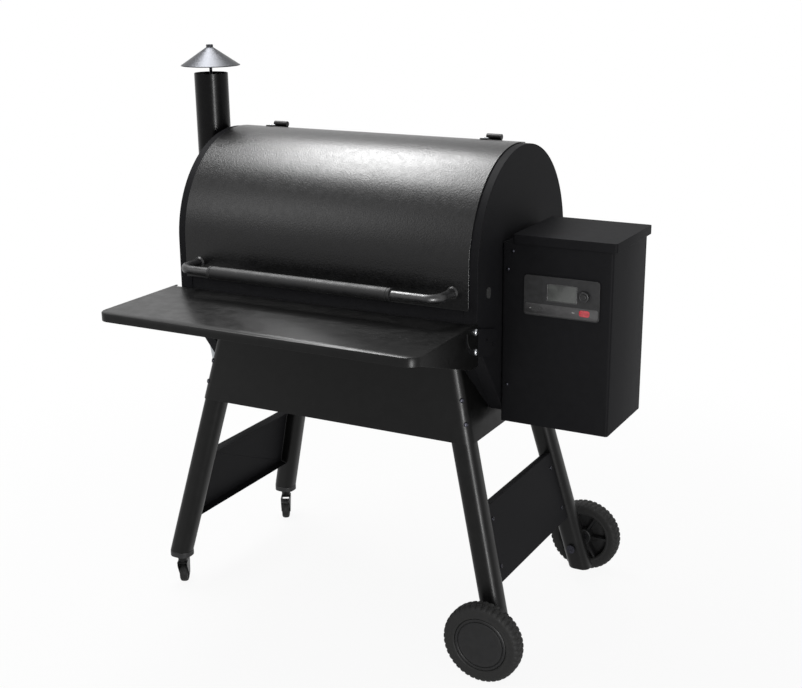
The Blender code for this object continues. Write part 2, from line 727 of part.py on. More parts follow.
def make_bin():
    """The pellet funnel inside the hopper: four sloping walls down to the auger."""
    low, high = AUGER_Z + AUGER_TUBE_R + 0.0006, HOPPER_Z1 - SHEET - 0.001
    top_x = (HOPPER_X1 - HOPPER_X0) / 2 - SHEET - 0.0008
    top_y = (HOPPER_Y1 - HOPPER_Y0) / 2 - SHEET - 0.0008
    foot_x, foot_y = 0.026, 0.0175
    bm = bmesh.new()
    bmesh.ops.create_cone(bm, cap_ends=False, segments=4, radius1=1, radius2=1, depth=high - low,
                          matrix=Matrix.Rotation(math.pi / 4, 4, "Z"))
    for vert in bm.verts:
        half_x, half_y = (top_x, top_y) if vert.co.z > 0 else (foot_x, foot_y)
        vert.co.x = math.copysign(half_x, vert.co.x)
        vert.co.y = math.copysign(half_y, vert.co.y)
    funnel = add("hopper_bin", mesh_from(bm, "hopper_bin"), "galvanised_steel",
                 (HOPPER_MIDDLE_X, HOPPER_MIDDLE_Y, (low + high) / 2))
    mod = funnel.modifiers.new("sheet", "SOLIDIFY")
    mod.thickness = 0.0012
    mod.offset = -1
    mod.use_even_offset = True


def make_hopper_lid(knuckle_half):
    """The hopper's shallow lid with the knuckle of its rear hinge."""
    empty = pivot("hopper_lid_pivot", (0, HOPPER_HINGE_Y, HOPPER_HINGE_Z), parent=ROOT)
    x0, x1, y0, y1 = HOPPER_LID_X0, HOPPER_LID_X1, HOPPER_LID_Y0, HOPPER_LID_Y1
    low = HOPPER_Z1 + 0.0006
    lid = sheet("hopper_lid", rounded((x0, y0), (x1, y1), 0.006, 3), "Z", low, HOPPER_LID_TOP, "black_powder_coat")
    bevel(lid, 0.0018, 1)
    cut(lid, sheet("hopper_lid_hollow", rounded((x0 + SHEET, y0 + SHEET), (x1 - SHEET, y1 - SHEET), 0.004, 3), "Z",
                   low - 0.01, HOPPER_LID_TOP - SHEET))
    x = HOPPER_MIDDLE_X
    knuckle = sheet("hopper_knuckle", circle((HOPPER_HINGE_Y, HOPPER_HINGE_Z), 0.005, 16), "X",
                    x - knuckle_half, x + knuckle_half)
    tab = box("hopper_tab", (x - knuckle_half + 0.001, y1 - SHEET / 2, HOPPER_HINGE_Z - 0.0015),
              (x + knuckle_half - 0.001, HOPPER_HINGE_Y, HOPPER_HINGE_Z + 0.0015))
    bore = rod("hopper_bore", (x - knuckle_half - 0.01, HOPPER_HINGE_Y, HOPPER_HINGE_Z),
               (x + knuckle_half + 0.01, HOPPER_HINGE_Y, HOPPER_HINGE_Z), 0.0029, sides=12)
    fuse(lid, knuckle, tab)
    cut(lid, bore)
    on_pivot(lid, empty)


def make_controls():
    """The control panel on the hopper's front: bezel, screen, dial with its push button, and probe jacks."""
    back = HOPPER_Y0 - GAP
    face = HOPPER_Y0 - BEZEL_PROUD
    screen = rounded((SCREEN_X0, SCREEN_Z0), (SCREEN_X1, SCREEN_Z1), 0.003, 2)
    jack = rounded((JACK_X - 0.014, JACK_Z - 0.006), (JACK_X + 0.014, JACK_Z + 0.006), 0.005, 3)
    spindle_r = 0.005
    holes = [screen, circle((DIAL_X, DIAL_Z), spindle_r + GAP, 16), jack]
    sheet("controller_bezel", rounded((BEZEL_X0, BEZEL_Z0), (BEZEL_X1, BEZEL_Z1), 0.008), "Y", face, back,
                  "black_plastic", holes)
    inset = rounded((SCREEN_X0 + GAP, SCREEN_Z0 + GAP), (SCREEN_X1 - GAP, SCREEN_Z1 - GAP), 0.003, 2)
    sheet("controller_screen", inset, "Y", face + 0.001, back - 0.0002, "display_glass")
    inset = rounded((JACK_X - 0.014 + GAP, JACK_Z - 0.006 + GAP), (JACK_X + 0.014 - GAP, JACK_Z + 0.006 - GAP),
                    0.005, 3)
    sockets = [circle((JACK_X + step, JACK_Z), 0.0022, 10) for step in (-0.007, 0.007)]
    sheet("probe_jack", inset, "Y", face - 0.0008, back - 0.0002, "black_rubber", sockets)

    dial_deep, cup, button_r = 0.009, 0.0055, 0.0065
    empty = pivot("dial_pivot", (DIAL_X, 0, DIAL_Z), parent=ROOT)
    front = face - GAP - dial_deep
    profile = [(0, cup), (button_r + GAP, cup), (button_r + GAP, 0), (DIAL_R - 0.001, 0), (DIAL_R, 0.001),
               (DIAL_R, dial_deep), (spindle_r, dial_deep), (spindle_r, dial_deep + BEZEL_PROUD - 0.001),
               (0, dial_deep + BEZEL_PROUD - 0.001)]
    dial = turned("controller_dial", list(reversed(profile)), (DIAL_X, front, DIAL_Z), "Y", "black_plastic")
    dial.rotation_euler = (-math.pi / 2, 0, 0)
    on_pivot(dial, empty)
    press = 0.0015
    profile = [(0, cup - press - GAP), (button_r, cup - press - GAP), (button_r, -0.0008), (button_r - 0.001, -0.0015),
               (0, -0.0015)]
    button = turned("dial_button", profile, (DIAL_X, front, DIAL_Z), "Y", "black_plastic", sides=16)
    on_pivot(button, empty)


def make_grommet():
    """The oval rubber way for probe leads through the right end."""
    y, z, half, radius = -0.1974, 0.8911, 0.006, 0.007
    oval = arc((y, z + half), radius, 0, 180, 6) + arc((y, z - half), radius, 180, 360, 6)
    slit = rounded((y - 0.0015, z - 0.008), (y + 0.0015, z + 0.008), 0.001, 1)
    sheet("probe_grommet", oval, "X", BARREL_HALF + GAP, BARREL_HALF + 0.004, "black_rubber", [slit])


def make_chimney():
    """The flue: a base on the left end, a pipe with a cross bar and rod, and a cap that screws up and down."""
    x, y = CHIMNEY_X, CHIMNEY_Y
    out, ledge = CHIMNEY_R + 0.0035, CHIMNEY_R - 0.0025
    bore = CHIMNEY_R + GAP
    low, seat, top = DUCT_Z - 0.045, CHIMNEY_BOTTOM - GAP, CHIMNEY_BOTTOM + 0.035
    base = rod("chimney_base", (x, y, low), (x, y, top), out, "black_powder_coat")
    wall_x = -BARREL_HALF - GAP
    fuse(base, rod("chimney_duct", (wall_x - 0.001, y, DUCT_Z), (x, y, DUCT_Z), DUCT_R + SHEET),
         rod("chimney_flange", (wall_x, y, DUCT_Z), (wall_x - 0.003, y, DUCT_Z), DUCT_R + 0.014))
    cut(base, rod("chimney_well", (x, y, low + SHEET), (x, y, top + 0.01), ledge),
        rod("chimney_socket", (x, y, seat), (x, y, top + 0.01), bore),
        rod("chimney_bore", (wall_x + 0.01, y, DUCT_Z), (x, y, DUCT_Z), DUCT_R))

    inner = CHIMNEY_R - SHEET
    profile = [(inner, CHIMNEY_TOP), (CHIMNEY_R, CHIMNEY_TOP), (CHIMNEY_R, CHIMNEY_BOTTOM), (inner, CHIMNEY_BOTTOM)]
    pipe = turned("chimney_pipe", profile, (x, y, 0), "Z", "black_powder_coat", closed=True)
    bar_z = CHIMNEY_TOP - 0.03
    rod_r = 0.004
    fuse(pipe, box("chimney_bar", (x - inner - 0.001, y - 0.006, bar_z), (x + inner + 0.001, y + 0.006, bar_z + 0.003)),
         rod("chimney_rod", (x, y, bar_z + 0.001), (x, y, CAP_TOP_Z - 0.004), rod_r, sides=12))

    empty = pivot("cap_pivot", (x, y, CAP_RIM_Z), parent=ROOT)
    hole, nut, nut_low = rod_r + GAP, 0.009, CAP_TOP_Z - 0.007
    thick = 0.0015
    profile = [(hole, CAP_TOP_Z), (nut, CAP_TOP_Z), (nut, nut_low), (CAP_R, CAP_RIM_Z + thick), (CAP_R, CAP_RIM_Z),
               (CAP_R - thick, CAP_RIM_Z), (nut, nut_low - 0.0022), (hole, nut_low - 0.0022)]
    cap = turned("chimney_cap", profile, (x, y, 0), "Z", "bare_steel", closed=True, sides=28)
    on_pivot(cap, empty)


def leg_centre(z):
    """How far out a leg's middle stands at a height, in X and in Y."""
    rise = z - LEG_LOW_Z
    return LEG_LOW_X - LEG_SLOPE_X * rise, LEG_LOW_Y - LEG_SLOPE_Y * rise


def leg_outline(inset):
    """A leg's section about its middle."""
    half_x, half_y = LEG_WIDE / 2 - inset, LEG_DEEP / 2 - inset
    return rounded((-half_x, -half_y), (half_x, half_y), LEG_CORNER - inset, 4)


def make_leg(name, side, end, low):
    """One splayed leg, a tube that leans outward."""
    leg = sheet(name, leg_outline(0), "Z", low, LEG_TOP_Z, "black_powder_coat", [leg_outline(LEG_WALL)])
    lean = Matrix.Identity(4)
    lean[0][2] = -side * LEG_SLOPE_X
    lean[1][2] = -end * LEG_SLOPE_Y
    leg.data.transform(lean)
    middle_x, middle_y = leg_centre(leg.location.z)
    leg.location.x = side * middle_x
    leg.location.y = end * middle_y
    return leg


def make_stand():
    """Legs, the apron that wraps their tops, and the channel braces between front and rear legs."""
    for end_name, end in (("front", -1), ("rear", 1)):
        make_leg(f"leg_{end_name}_left", -1, end, LEG_LOW_Z)
        leg = make_leg(f"leg_{end_name}_right", 1, end, WHEEL_LEG_END)
        make_wheel(end_name, end, leg)
        make_caster(end_name, end)
    make_apron()
    for name, side in (("brace_left", -1), ("brace_right", 1)):
        make_brace(name, side)


def make_apron():
    """A belt of sheet round the leg tops, leaning in like the legs and cut to the barrel's section."""
    wall = SHEET
    half_x = LEG_HIGH_X + LEG_WIDE / 2 + APRON_CLEAR + wall
    half_y = LEG_HIGH_Y + LEG_DEEP / 2 + APRON_CLEAR + wall
    corner = LEG_CORNER + APRON_CLEAR + wall
    outer = rounded((-half_x, -half_y), (half_x, half_y), corner)
    inner = rounded((wall - half_x, wall - half_y), (half_x - wall, half_y - wall), corner - wall)
    low, high = LEG_HIGH_Z, APRON_TOP
    belt = sheet("apron", outer, "Z", low, high, "black_powder_coat", [inner])
    for vert in belt.data.vertices:
        rise = vert.co.z + (high - low) / 2
        vert.co.x -= math.copysign(LEG_SLOPE_X * rise, vert.co.x)
        vert.co.y -= math.copysign(LEG_SLOPE_Y * rise, vert.co.y)
    cut(belt, sheet("apron_cut", barrel_outline(SHELL_OUT + APRON_CLEAR), "X", -BARREL_HALF - 0.05, BARREL_HALF + 0.05))


def make_brace(name, side):
    """A channel between two legs, leaning with them."""
    middle = (BRACE_LOW + BRACE_HIGH) / 2
    half = (BRACE_HIGH - BRACE_LOW) / 2
    at_x, at_y = leg_centre(middle)
    reach = at_y - LEG_DEEP / 2 - GAP
    low_y, high_y = reach + LEG_SLOPE_Y * half, reach - LEG_SLOPE_Y * half
    profile = [(-low_y, -half), (low_y, -half), (high_y, half), (-high_y, half)]
    x0, x1 = sorted((0, -side * SHEET))
    web = sheet(name, profile, "X", x0, x1, "black_powder_coat")
    f0, f1 = sorted((0, -side * BRACE_FLANGE))
    lip = 0.001
    fuse(web, box(f"{name}_top", (f0, lip - high_y, half - SHEET), (f1, high_y - lip, half)),
         box(f"{name}_foot", (f0, lip - low_y, -half), (f1, low_y - lip, SHEET - half)))
    lean = pivot(f"{name}_lean", (side * (at_x + LEG_WIDE / 4), 0, middle), parent=ROOT)
    lean.rotation_euler = (0, -side * math.atan(LEG_SLOPE_X), 0)
    for obj in (web, *(mod.object for mod in web.modifiers)):
        obj.parent = lean


def make_wheel(end_name, end, leg):
    """One running wheel with its stub axle through the leg."""
    axle_x, leg_y = leg_centre(WHEEL_R)
    collar_r = 0.012
    seat = LEG_DEEP / 2 + collar_r * LEG_SLOPE_Y + GAP
    head_y, outer_y = leg_y - seat, leg_y + seat
    inner_face = WHEEL_Y - WHEEL_WIDE / 2
    tip = WHEEL_Y + WHEEL_WIDE / 2 - 0.008
    cut(leg, rod(f"axle_way_{end_name}", (axle_x, end * (head_y - 0.01), WHEEL_R),
                 (axle_x, end * (outer_y + 0.01), WHEEL_R), AXLE_R + GAP, sides=16))
    profile = [(0, -head_y + 0.006), (collar_r, -head_y + 0.006), (collar_r, -head_y), (AXLE_R, -head_y),
               (AXLE_R, -outer_y), (collar_r, -outer_y), (collar_r, GAP - inner_face), (AXLE_R, GAP - inner_face),
               (AXLE_R, -tip), (0, -tip)]
    axle = turned(f"axle_{end_name}", profile, (axle_x, 0, WHEEL_R), "Y", "bare_steel", sides=12)
    axle.rotation_euler = (math.pi / 2 if end > 0 else -math.pi / 2, 0, 0)
    axle.location.y = 0

    empty = pivot(f"wheel_pivot_{end_name}", (axle_x, end * WHEEL_Y, WHEEL_R), parent=ROOT)
    half, shoulder = WHEEL_WIDE / 2, 0.008
    bore, blind = AXLE_R + GAP, half - 0.0075
    hub_r, rim_r, deep = 0.022, 0.064, 0.026
    profile = [(0, half - 0.002), (0.058, half - 0.002), (0.060, half), (WHEEL_R - shoulder, half),
               (WHEEL_R, half - shoulder), (WHEEL_R, shoulder - half), (WHEEL_R - shoulder, -half), (rim_r, -half),
               (rim_r, deep - half), (hub_r, deep - half), (hub_r, -half), (bore, -half), (bore, blind), (0, blind)]
    wheel = turned(f"wheel_{end_name}", profile, (axle_x, end * WHEEL_Y, WHEEL_R), "Y", "black_rubber", sides=32)
    wheel.rotation_euler = (-math.pi / 2 if end > 0 else math.pi / 2, 0, 0)
    for i in range(SPOKES):
        spoke = box(f"spoke_{end_name}_{i}", (hub_r - 0.003, -0.004, 0.006 - half), (rim_r + 0.003, 0.004, deep - half + 0.001))
        spoke.data.transform(Matrix.Translation(spoke.location))
        spoke.data.transform(Matrix.Rotation(math.tau * i / SPOKES, 4, "Z"))
        spoke.location = wheel.location
        spoke.rotation_euler = wheel.rotation_euler
        fuse(wheel, spoke)
    for obj in (wheel, *(mod.object for mod in wheel.modifiers if mod.type == "BOOLEAN")):
        on_pivot(obj, empty)


def make_caster(end_name, end):
    """One swivelling caster with a brake, under a plug in the leg's end."""
    x, y = leg_centre(LEG_LOW_Z)
    x, y = -x, end * y
    plug_low = LEG_LOW_Z - CASTER_PLUG
    stem_r = 0.006
    plug = sheet(f"leg_plug_{end_name}", leg_outline(0), "Z", plug_low, LEG_LOW_Z - GAP, "black_plastic")
    plug.location.x, plug.location.y = x, y
    bevel(plug, 0.005, 1)
    cut(plug, rod(f"stem_way_{end_name}", (x, y, plug_low - 0.01), (x, y, LEG_LOW_Z + 0.01), stem_r + GAP, sides=16))

    turn = CASTER_HEADING if end < 0 else CASTER_HEADING - math.pi
    swivel = pivot(f"caster_swivel_{end_name}", (x, y, 0), turn, ROOT)
    inner = CASTER_WIDE / 2 + 0.0008
    outer = inner + FORK_SHEET
    trail, axle_z = CASTER_TRAIL, CASTER_R
    cheek = [(-0.014, FORK_TOP), (-0.013, FORK_TOP - 0.012)] + arc((trail, axle_z), 0.009, 200, 350, 6)
    cheek += [(trail + 0.015, FORK_TOP - 0.010), (trail + 0.014, FORK_TOP)]
    fork = sheet(f"caster_fork_{end_name}", cheek, "Y", -outer, -inner, "black_plastic", parent=swivel)
    pin_r = 0.003
    fuse(fork, sheet(f"cheek_{end_name}", cheek, "Y", inner, outer, parent=swivel),
         box(f"crown_{end_name}", (-0.0138, -outer, FORK_TOP - 0.003), (0.013, outer, FORK_TOP), parent=swivel),
         rod(f"swivel_boss_{end_name}", (0, 0, FORK_TOP - 0.002), (0, 0, plug_low - GAP), 0.0125, parent=swivel),
         rod(f"stem_{end_name}", (0, 0, FORK_TOP), (0, 0, LEG_LOW_Z - 0.002), stem_r, parent=swivel, sides=16),
         rod(f"caster_pin_{end_name}", (trail, -inner - 0.001, axle_z), (trail, inner + 0.001, axle_z), pin_r, parent=swivel,
             sides=12))

    roll = pivot(f"caster_roll_{end_name}", (trail, 0, axle_z), parent=swivel)
    half = CASTER_WIDE / 2
    bore = pin_r + GAP
    side = [(bore, half), (CASTER_R - 0.004, half), (CASTER_R - 0.001, half - 0.002), (CASTER_R, half - 0.005)]
    profile = side + [(radius, -height) for radius, height in reversed(side)]
    turned(f"caster_wheel_{end_name}", profile, (0, 0, 0), "Y", "black_rubber", roll, closed=True)

    brake_x, brake_z = trail + 0.010, FORK_TOP - 0.0045
    brake = pivot(f"caster_brake_pivot_{end_name}", (brake_x, 0, brake_z), parent=swivel)
    pedal = [(0.0, 0.0025), (0.026, 0.0015), (0.028, -0.001), (0.0255, -0.0022), (0.0, -0.0025)]
    pedal += arc((0, 0), 0.0025, 240, 120, 4)[1:-1]
    sheet(f"caster_brake_{end_name}", pedal, "Y", GAP - inner, inner - GAP, "black_plastic", parent=brake)


def make_shelf():
    """The folding front shelf, a tray with deepening sides, and the bracket that carries it at each end."""
    empty = pivot("shelf_pivot", (0, SHELF_BOLT_Y, SHELF_BOLT_Z), parent=ROOT)
    half, front, rear, top = SHELF_HALF, SHELF_FRONT, SHELF_REAR, SHELF_TOP
    low = top - SHELF_REAR_DEPTH

    def plan(inset, back):
        radius = SHELF_CORNER - inset
        left = arc((radius + inset - half, front + inset + radius), radius, 180, 270, 5)
        right = arc((half - inset - radius, front + inset + radius), radius, 270, 360, 5)
        return left + right + [(half - inset, back), (inset - half, back)]

    shelf = sheet("front_shelf", plan(0, rear), "Z", low, top, "black_powder_coat")
    bevel(shelf, 0.003, 1)
    hollow = sheet("shelf_hollow", plan(SHEET, rear + 0.02), "Z", low - 0.02, top - SHEET)
    taper = [(front - 0.02, top - SHELF_LIP), (front + SHELF_LIP, top - SHELF_LIP), (SHELF_BOLT_Y - 0.02, low),
             (rear + 0.02, low), (rear + 0.02, low - 0.03), (front - 0.02, low - 0.03)]
    under = sheet("shelf_taper", taper, "X", -half - 0.02, half + 0.02)
    top_rear = box("shelf_top_rear", (SHEET * 3 - half, SHELF_BOLT_Y, low - 0.01), (half - SHEET * 3, rear + 0.02, top + 0.01))
    pins = (SHELF_BOLT_Y, SHELF_BOLT_Z)
    hole = sheet("shelf_hole", circle(pins, BOLT_R + GAP, 16), "X", -half - 0.02, half + 0.02)
    guide = sheet("shelf_guide", slot(pins, SHELF_BOLT_STEP, BOLT_R + GAP * 2, 178, 272), "X", -half - 0.02, half + 0.02)
    cut(shelf, hollow, under, top_rear, hole, guide)
    on_pivot(shelf, empty)

    for name, side in (("shelf_bracket_left", -1), ("shelf_bracket_right", 1)):
        plate = [(SHELF_BOLT_Y - 0.0085, SHELF_BOLT_Z + 0.0075), (-0.165, 0.800), (-0.160, 0.752), (-0.195, 0.742),
                 (SHELF_BOLT_Y - 0.0085, SHELF_BOLT_Z - SHELF_BOLT_STEP - 0.010)]
        near, far = BARREL_HALF + GAP, half - SHEET - GAP
        x0, x1 = sorted((side * near, side * far))
        bracket = sheet(name, plate, "X", x0, x1, "black_powder_coat")
        for i, drop in enumerate((0, SHELF_BOLT_STEP)):
            z = SHELF_BOLT_Z - drop
            shank = rod(f"{name}_shank_{i}", (side * (far - 0.001), SHELF_BOLT_Y, z), (side * (half + 0.001), SHELF_BOLT_Y, z),
                        BOLT_R, sides=12)
            head = rod(f"{name}_head_{i}", (side * (half + GAP), SHELF_BOLT_Y, z), (side * (half + 0.0035), SHELF_BOLT_Y, z),
                       0.0068, sides=16, end_radius=0.0045)
            fuse(bracket, shank, head)


def make_bucket():
    """A grease bucket that hangs by its bail from the drain spout."""
    bore = SPOUT_R - 0.0015
    inside = -END_IN + 0.010
    profile = [(bore, inside), (SPOUT_R, inside), (SPOUT_R, SPOUT_END), (bore, SPOUT_END)]
    turned("drain_spout", profile, (0, SPOUT_Y, SPOUT_Z), "X", "black_powder_coat", closed=True)

    hang_z = SPOUT_Z + SPOUT_R + BAIL_R + GAP
    swing = pivot("bucket_swing", (BUCKET_X, SPOUT_Y, SPOUT_Z), parent=ROOT)
    ear_z = BUCKET_TOP - 0.012
    ear_y = BUCKET_R + 0.0036
    bend = 0.016
    half = [(ear_y - 0.0060, ear_z), (ear_y + 0.0012, ear_z), (ear_y + 0.0022, ear_z + 0.006)]
    half += [(ear_y + 0.0022, BUCKET_TOP + 0.006)]
    half += arc((SPOUT_R + 0.02, hang_z - 0.030), 0.030, 20, 90, 4)
    half += arc((0, hang_z - bend), bend, 76, 90, 1)
    path = half + [(-y, z) for y, z in reversed(half)][1:]
    bail = wire("bucket_bail", [(BUCKET_X, SPOUT_Y + y, z) for y, z in path], BAIL_R, "bare_steel", resolution=1)
    on_pivot(bail, swing)

    wall, foot_r = 0.001, BUCKET_R * 0.78
    low = BUCKET_TOP - BUCKET_HIGH
    profile = [(BUCKET_R - wall, BUCKET_TOP), (BUCKET_R + 0.002, BUCKET_TOP), (BUCKET_R + 0.002, BUCKET_TOP - 0.003),
               (BUCKET_R, BUCKET_TOP - 0.0035), (foot_r, low), (0, low)]
    profile = [(0, low + wall), (foot_r - wall, low + wall)] + profile
    bucket = turned("grease_bucket", profile, (BUCKET_X, SPOUT_Y, 0), "Z", "galvanised_steel", sides=24)
    for sign in (-1, 1):
        y = SPOUT_Y + sign * BUCKET_R
        cut(bucket, rod(f"bail_way_{sign}", (BUCKET_X, y - 0.008, ear_z), (BUCKET_X, y + 0.008, ear_z), BAIL_R + 0.0006, sides=10))
    ears = pivot("bucket_ears", (0, 0, ear_z - SPOUT_Z), parent=swing)
    for obj in (bucket, *(mod.object for mod in bucket.modifiers if mod.type == "BOOLEAN")):
        obj.parent = ears
        obj.location = Vector(obj.location) - Vector((BUCKET_X, SPOUT_Y, ear_z))


make_barrel()
make_end_panels()
make_lid()
make_cooking_inside()
make_fire()
make_fan()
make_hopper()
make_controls()
make_grommet()
make_chimney()
make_stand()
make_shelf()
make_bucket()
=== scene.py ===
"""Visual model of a pellet smoker grill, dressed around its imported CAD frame.

Lengths are metres in the grill's own frame: the barrel's middle is at x = y = 0, its front faces -y and the
wheels stand on z = 0. SHIFT carries such points to the frame that the CAD solids stand in.
"""

import json
import logging
import math
from dataclasses import dataclass
from enum import Enum
from itertools import product
from typing import Any, Iterable, Sequence

import bmesh
import bpy
import numpy as np
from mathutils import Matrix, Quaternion, Vector

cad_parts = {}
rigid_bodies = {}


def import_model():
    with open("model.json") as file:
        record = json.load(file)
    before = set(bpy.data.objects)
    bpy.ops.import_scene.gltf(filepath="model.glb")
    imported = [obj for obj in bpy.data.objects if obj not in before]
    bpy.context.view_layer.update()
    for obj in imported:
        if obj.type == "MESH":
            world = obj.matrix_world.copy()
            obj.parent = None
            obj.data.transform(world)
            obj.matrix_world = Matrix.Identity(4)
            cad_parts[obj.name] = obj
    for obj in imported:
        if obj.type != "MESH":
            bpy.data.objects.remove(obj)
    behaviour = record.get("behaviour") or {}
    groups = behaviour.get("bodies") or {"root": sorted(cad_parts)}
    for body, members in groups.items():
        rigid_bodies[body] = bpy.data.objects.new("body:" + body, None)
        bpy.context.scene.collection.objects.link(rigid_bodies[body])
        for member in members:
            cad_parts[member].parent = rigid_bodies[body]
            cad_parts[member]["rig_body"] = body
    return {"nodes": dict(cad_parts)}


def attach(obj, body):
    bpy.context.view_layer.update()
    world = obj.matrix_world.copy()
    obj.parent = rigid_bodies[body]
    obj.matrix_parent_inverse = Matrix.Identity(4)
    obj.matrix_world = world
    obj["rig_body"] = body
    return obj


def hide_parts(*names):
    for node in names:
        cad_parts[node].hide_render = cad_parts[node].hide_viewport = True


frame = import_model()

LOG = logging.getLogger("pellet_grill")
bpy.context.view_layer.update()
SHIFT = np.array((-0.069, 0.1042, 0.0))
POWDER = "black_powder_coat"
HEAD_STEPS = 24
WELD_GAP = 1e-6
SOLID_GAP = 2e-6
FLAT_DEGREES = 0.4
Array = np.ndarray
Pair = tuple[float, float]
Socket = bpy.types.NodeSocket
Tree = bpy.types.NodeTree
Point = Sequence[float]
X, Y, Z = np.eye(3)


class Cap(Enum):
    """How the two end loops of a skin are closed."""

    OPEN = "open"
    FACE = "face"
    STRIP = "strip"


class Head(Enum):
    """Screw and bolt heads by where they sit, as radius and height."""

    LEAF = (0.0035, 0.0016)
    FLANGE = (0.004, 0.0022)
    CABINET = (0.0042, 0.0022)
    SHELF = (0.0078, 0.0042)
    BRACKET = (0.0045, 0.0004)
    APRON = (0.0058, 0.003)
    BRACE = (0.005, 0.0026)


def linear(colour: str) -> tuple[float, ...]:
    """An sRGB hex colour as linear red, green and blue, with an alpha of one."""
    raw = np.array([int(colour[i:i + 2], 16) for i in (1, 3, 5)]) / 255
    return (*np.where(raw <= 0.04045, raw / 12.92, ((raw + 0.055) / 1.055) ** 2.4).tolist(), 1.0)


def add_node(tree: Tree, kind: str, inputs: dict[Any, Any] | None = None,
             **settings: Any) -> bpy.types.Node:
    """Add one node with its settings, and fill or link its sockets.

    Args:
        tree: the node tree that it joins.
        kind: Blender's name of the node type, after ShaderNode.
        inputs: a value for each input by its name or number, or the socket or node (its first output) to link.
        **settings: properties of the node itself.

    Returns:
        The new node.
    """
    new = tree.nodes.new(f"ShaderNode{kind}")
    for key, value in settings.items():
        setattr(new, key, value)
    for key, value in (inputs or {}).items():
        if isinstance(value, bpy.types.Node):
            value = value.outputs[0]
        if isinstance(value, Socket):
            tree.links.new(value, new.inputs[key])
        else:
            new.inputs[key].default_value = value
    return new


@dataclass(frozen=True)
class Finish:
    """One real material with the way its surface was made.

    Colours are sRGB hex values: the main one, and the one that mottles it. Sizes are millimetres: the fine
    grain with its depth, and the wider mottling, which a spangled finish has in crystals. The roughness wanders
    by its spread with the mottling.
    """

    name: str
    colour: str
    mottle: str
    roughness: float
    spread: float
    grain_mm: float
    depth_mm: float
    mottle_mm: float
    slot: str
    metallic: float = 0.0
    specular: float = 0.5
    coat: float = 0.0
    coat_roughness: float = 0.08
    spangled: bool = False
    stretch: tuple[float, float, float] = (1.0, 1.0, 1.0)

    def material(self) -> bpy.types.Material:
        """The finish as a node material on Object coordinates, made once."""
        found = bpy.data.materials.get(self.name)
        if found is not None:
            return found
        made = bpy.data.materials.new(self.name)
        made.use_nodes = True
        tree = made.node_tree
        tree.nodes.clear()
        place = add_node(tree, "TexCoord").outputs["Object"]
        if self.stretch != (1.0, 1.0, 1.0):
            place = add_node(tree, "Mapping", {"Vector": place, "Scale": self.stretch}).outputs[0]
        grain = add_node(tree, "TexNoise", {
            "Vector": place, "Scale": 1000 / self.grain_mm, "Detail": 2.0, "Roughness": 0.55})
        wide = {"Vector": place, "Scale": 1000 / self.mottle_mm}
        if self.spangled:
            cells = add_node(tree, "TexVoronoi", wide)
            spots, low, high = add_node(tree, "SeparateColor", {"Color": cells.outputs["Color"]}), 0.0, 1.0
        else:  # the noise keeps near the middle of its range
            spots, low, high = add_node(tree, "TexNoise", {**wide, "Detail": 4.0, "Roughness": 0.6}), 0.38, 0.62
        share = add_node(tree, "MapRange", {"Value": spots, "From Min": low, "From Max": high})
        tint = add_node(tree, "Mix", {"Factor": share, 6: linear(self.colour), 7: linear(self.mottle)},
                        data_type="RGBA")
        rough = add_node(tree, "MapRange", {
            "Value": share, "To Min": self.roughness - self.spread, "To Max": self.roughness + self.spread})
        bump = add_node(tree, "Bump", {"Height": grain, "Strength": 1.0, "Distance": self.depth_mm / 1000})
        shader = add_node(tree, "BsdfPrincipled", {
            "Base Color": tint.outputs[2], "Roughness": rough, "Normal": bump,
            "Metallic": self.metallic, "Specular IOR Level": self.specular,
            "Coat Weight": self.coat, "Coat Roughness": self.coat_roughness})
        add_node(tree, "OutputMaterial", {"Surface": shader})
        return made


# Satin black powder coat baked on formed steel. Its pebble is finer on the real lid; at this size it still shows.
LID_COAT = Finish("satin_black_powder_coat", "#09090a", "#0e0e0f", 0.33, 0.03, 4.0, 0.36, 14.0, POWDER, specular=0.3)
# The same powder on the flat pressings, sprayed thin and dry: matt, with next to no gloss.
BODY_COAT = Finish("fine_textured_powder_coat", "#1a1a1c", "#1c1c1e", 0.6, 0.012, 2.0, 0.04, 22.0, POWDER,
                   specular=0.045)
# Powder coat on the legs, the apron and the shelf, with the faint orange peel of a thicker film.
STAND_COAT = Finish("orange_peel_powder_coat", "#0a0a0a", "#0e0e0e", 0.36, 0.03, 3.0, 0.05, 30.0, POWDER, specular=0.17)
# A slicker coat on the flue's pipe, which throws one narrow streak.
PIPE_COAT = Finish("slick_black_powder_coat", "#080809", "#0c0c0d", 0.26, 0.02, 2.0, 0.02, 16.0, POWDER, specular=0.1)
# Thicker satin coat on the handle's rod, painted a lighter grey all over: a painted sheen that stands in for the light
# on its bends.
ROD_COAT = Finish("sheen_lightened_satin_powder_coat", "#1d1d1e", "#2b2b2c", 0.38, 0.05, 2.4, 0.04, 18.0, POWDER, specular=0.5)
# Spun stainless steel of the flue's hat: fine rings left by the lathe, with a soft sheen.
SPUN_STEEL = Finish("spun_stainless_steel", "#2d2e31", "#3a3b3e", 0.42, 0.06, 1.2, 0.012, 9.0, "bare_steel",
                    metallic=1.0, stretch=(1.0, 1.0, 8.0))
# Bright zinc plate on screws and bolts.
ZINC_PLATE = Finish("bright_zinc_plate", "#a9abae", "#8b8d90", 0.24, 0.06, 0.8, 0.01, 3.0, "bare_steel", metallic=1.0)
# Black oxide on small fasteners that sit in black panels.
BLACK_OXIDE = Finish("black_oxide_steel", "#26262a", "#34343a", 0.32, 0.06, 0.8, 0.01, 4.0, "bare_steel",
                     metallic=1.0)
# Cold-rolled steel inside the fire chamber, with the straw and blue of heat in its scale.
HEATED_STEEL = Finish("heat_tinted_steel", "#4c4742", "#5d5868", 0.42, 0.1, 1.6, 0.03, 45.0, "bare_steel",
                      metallic=1.0)
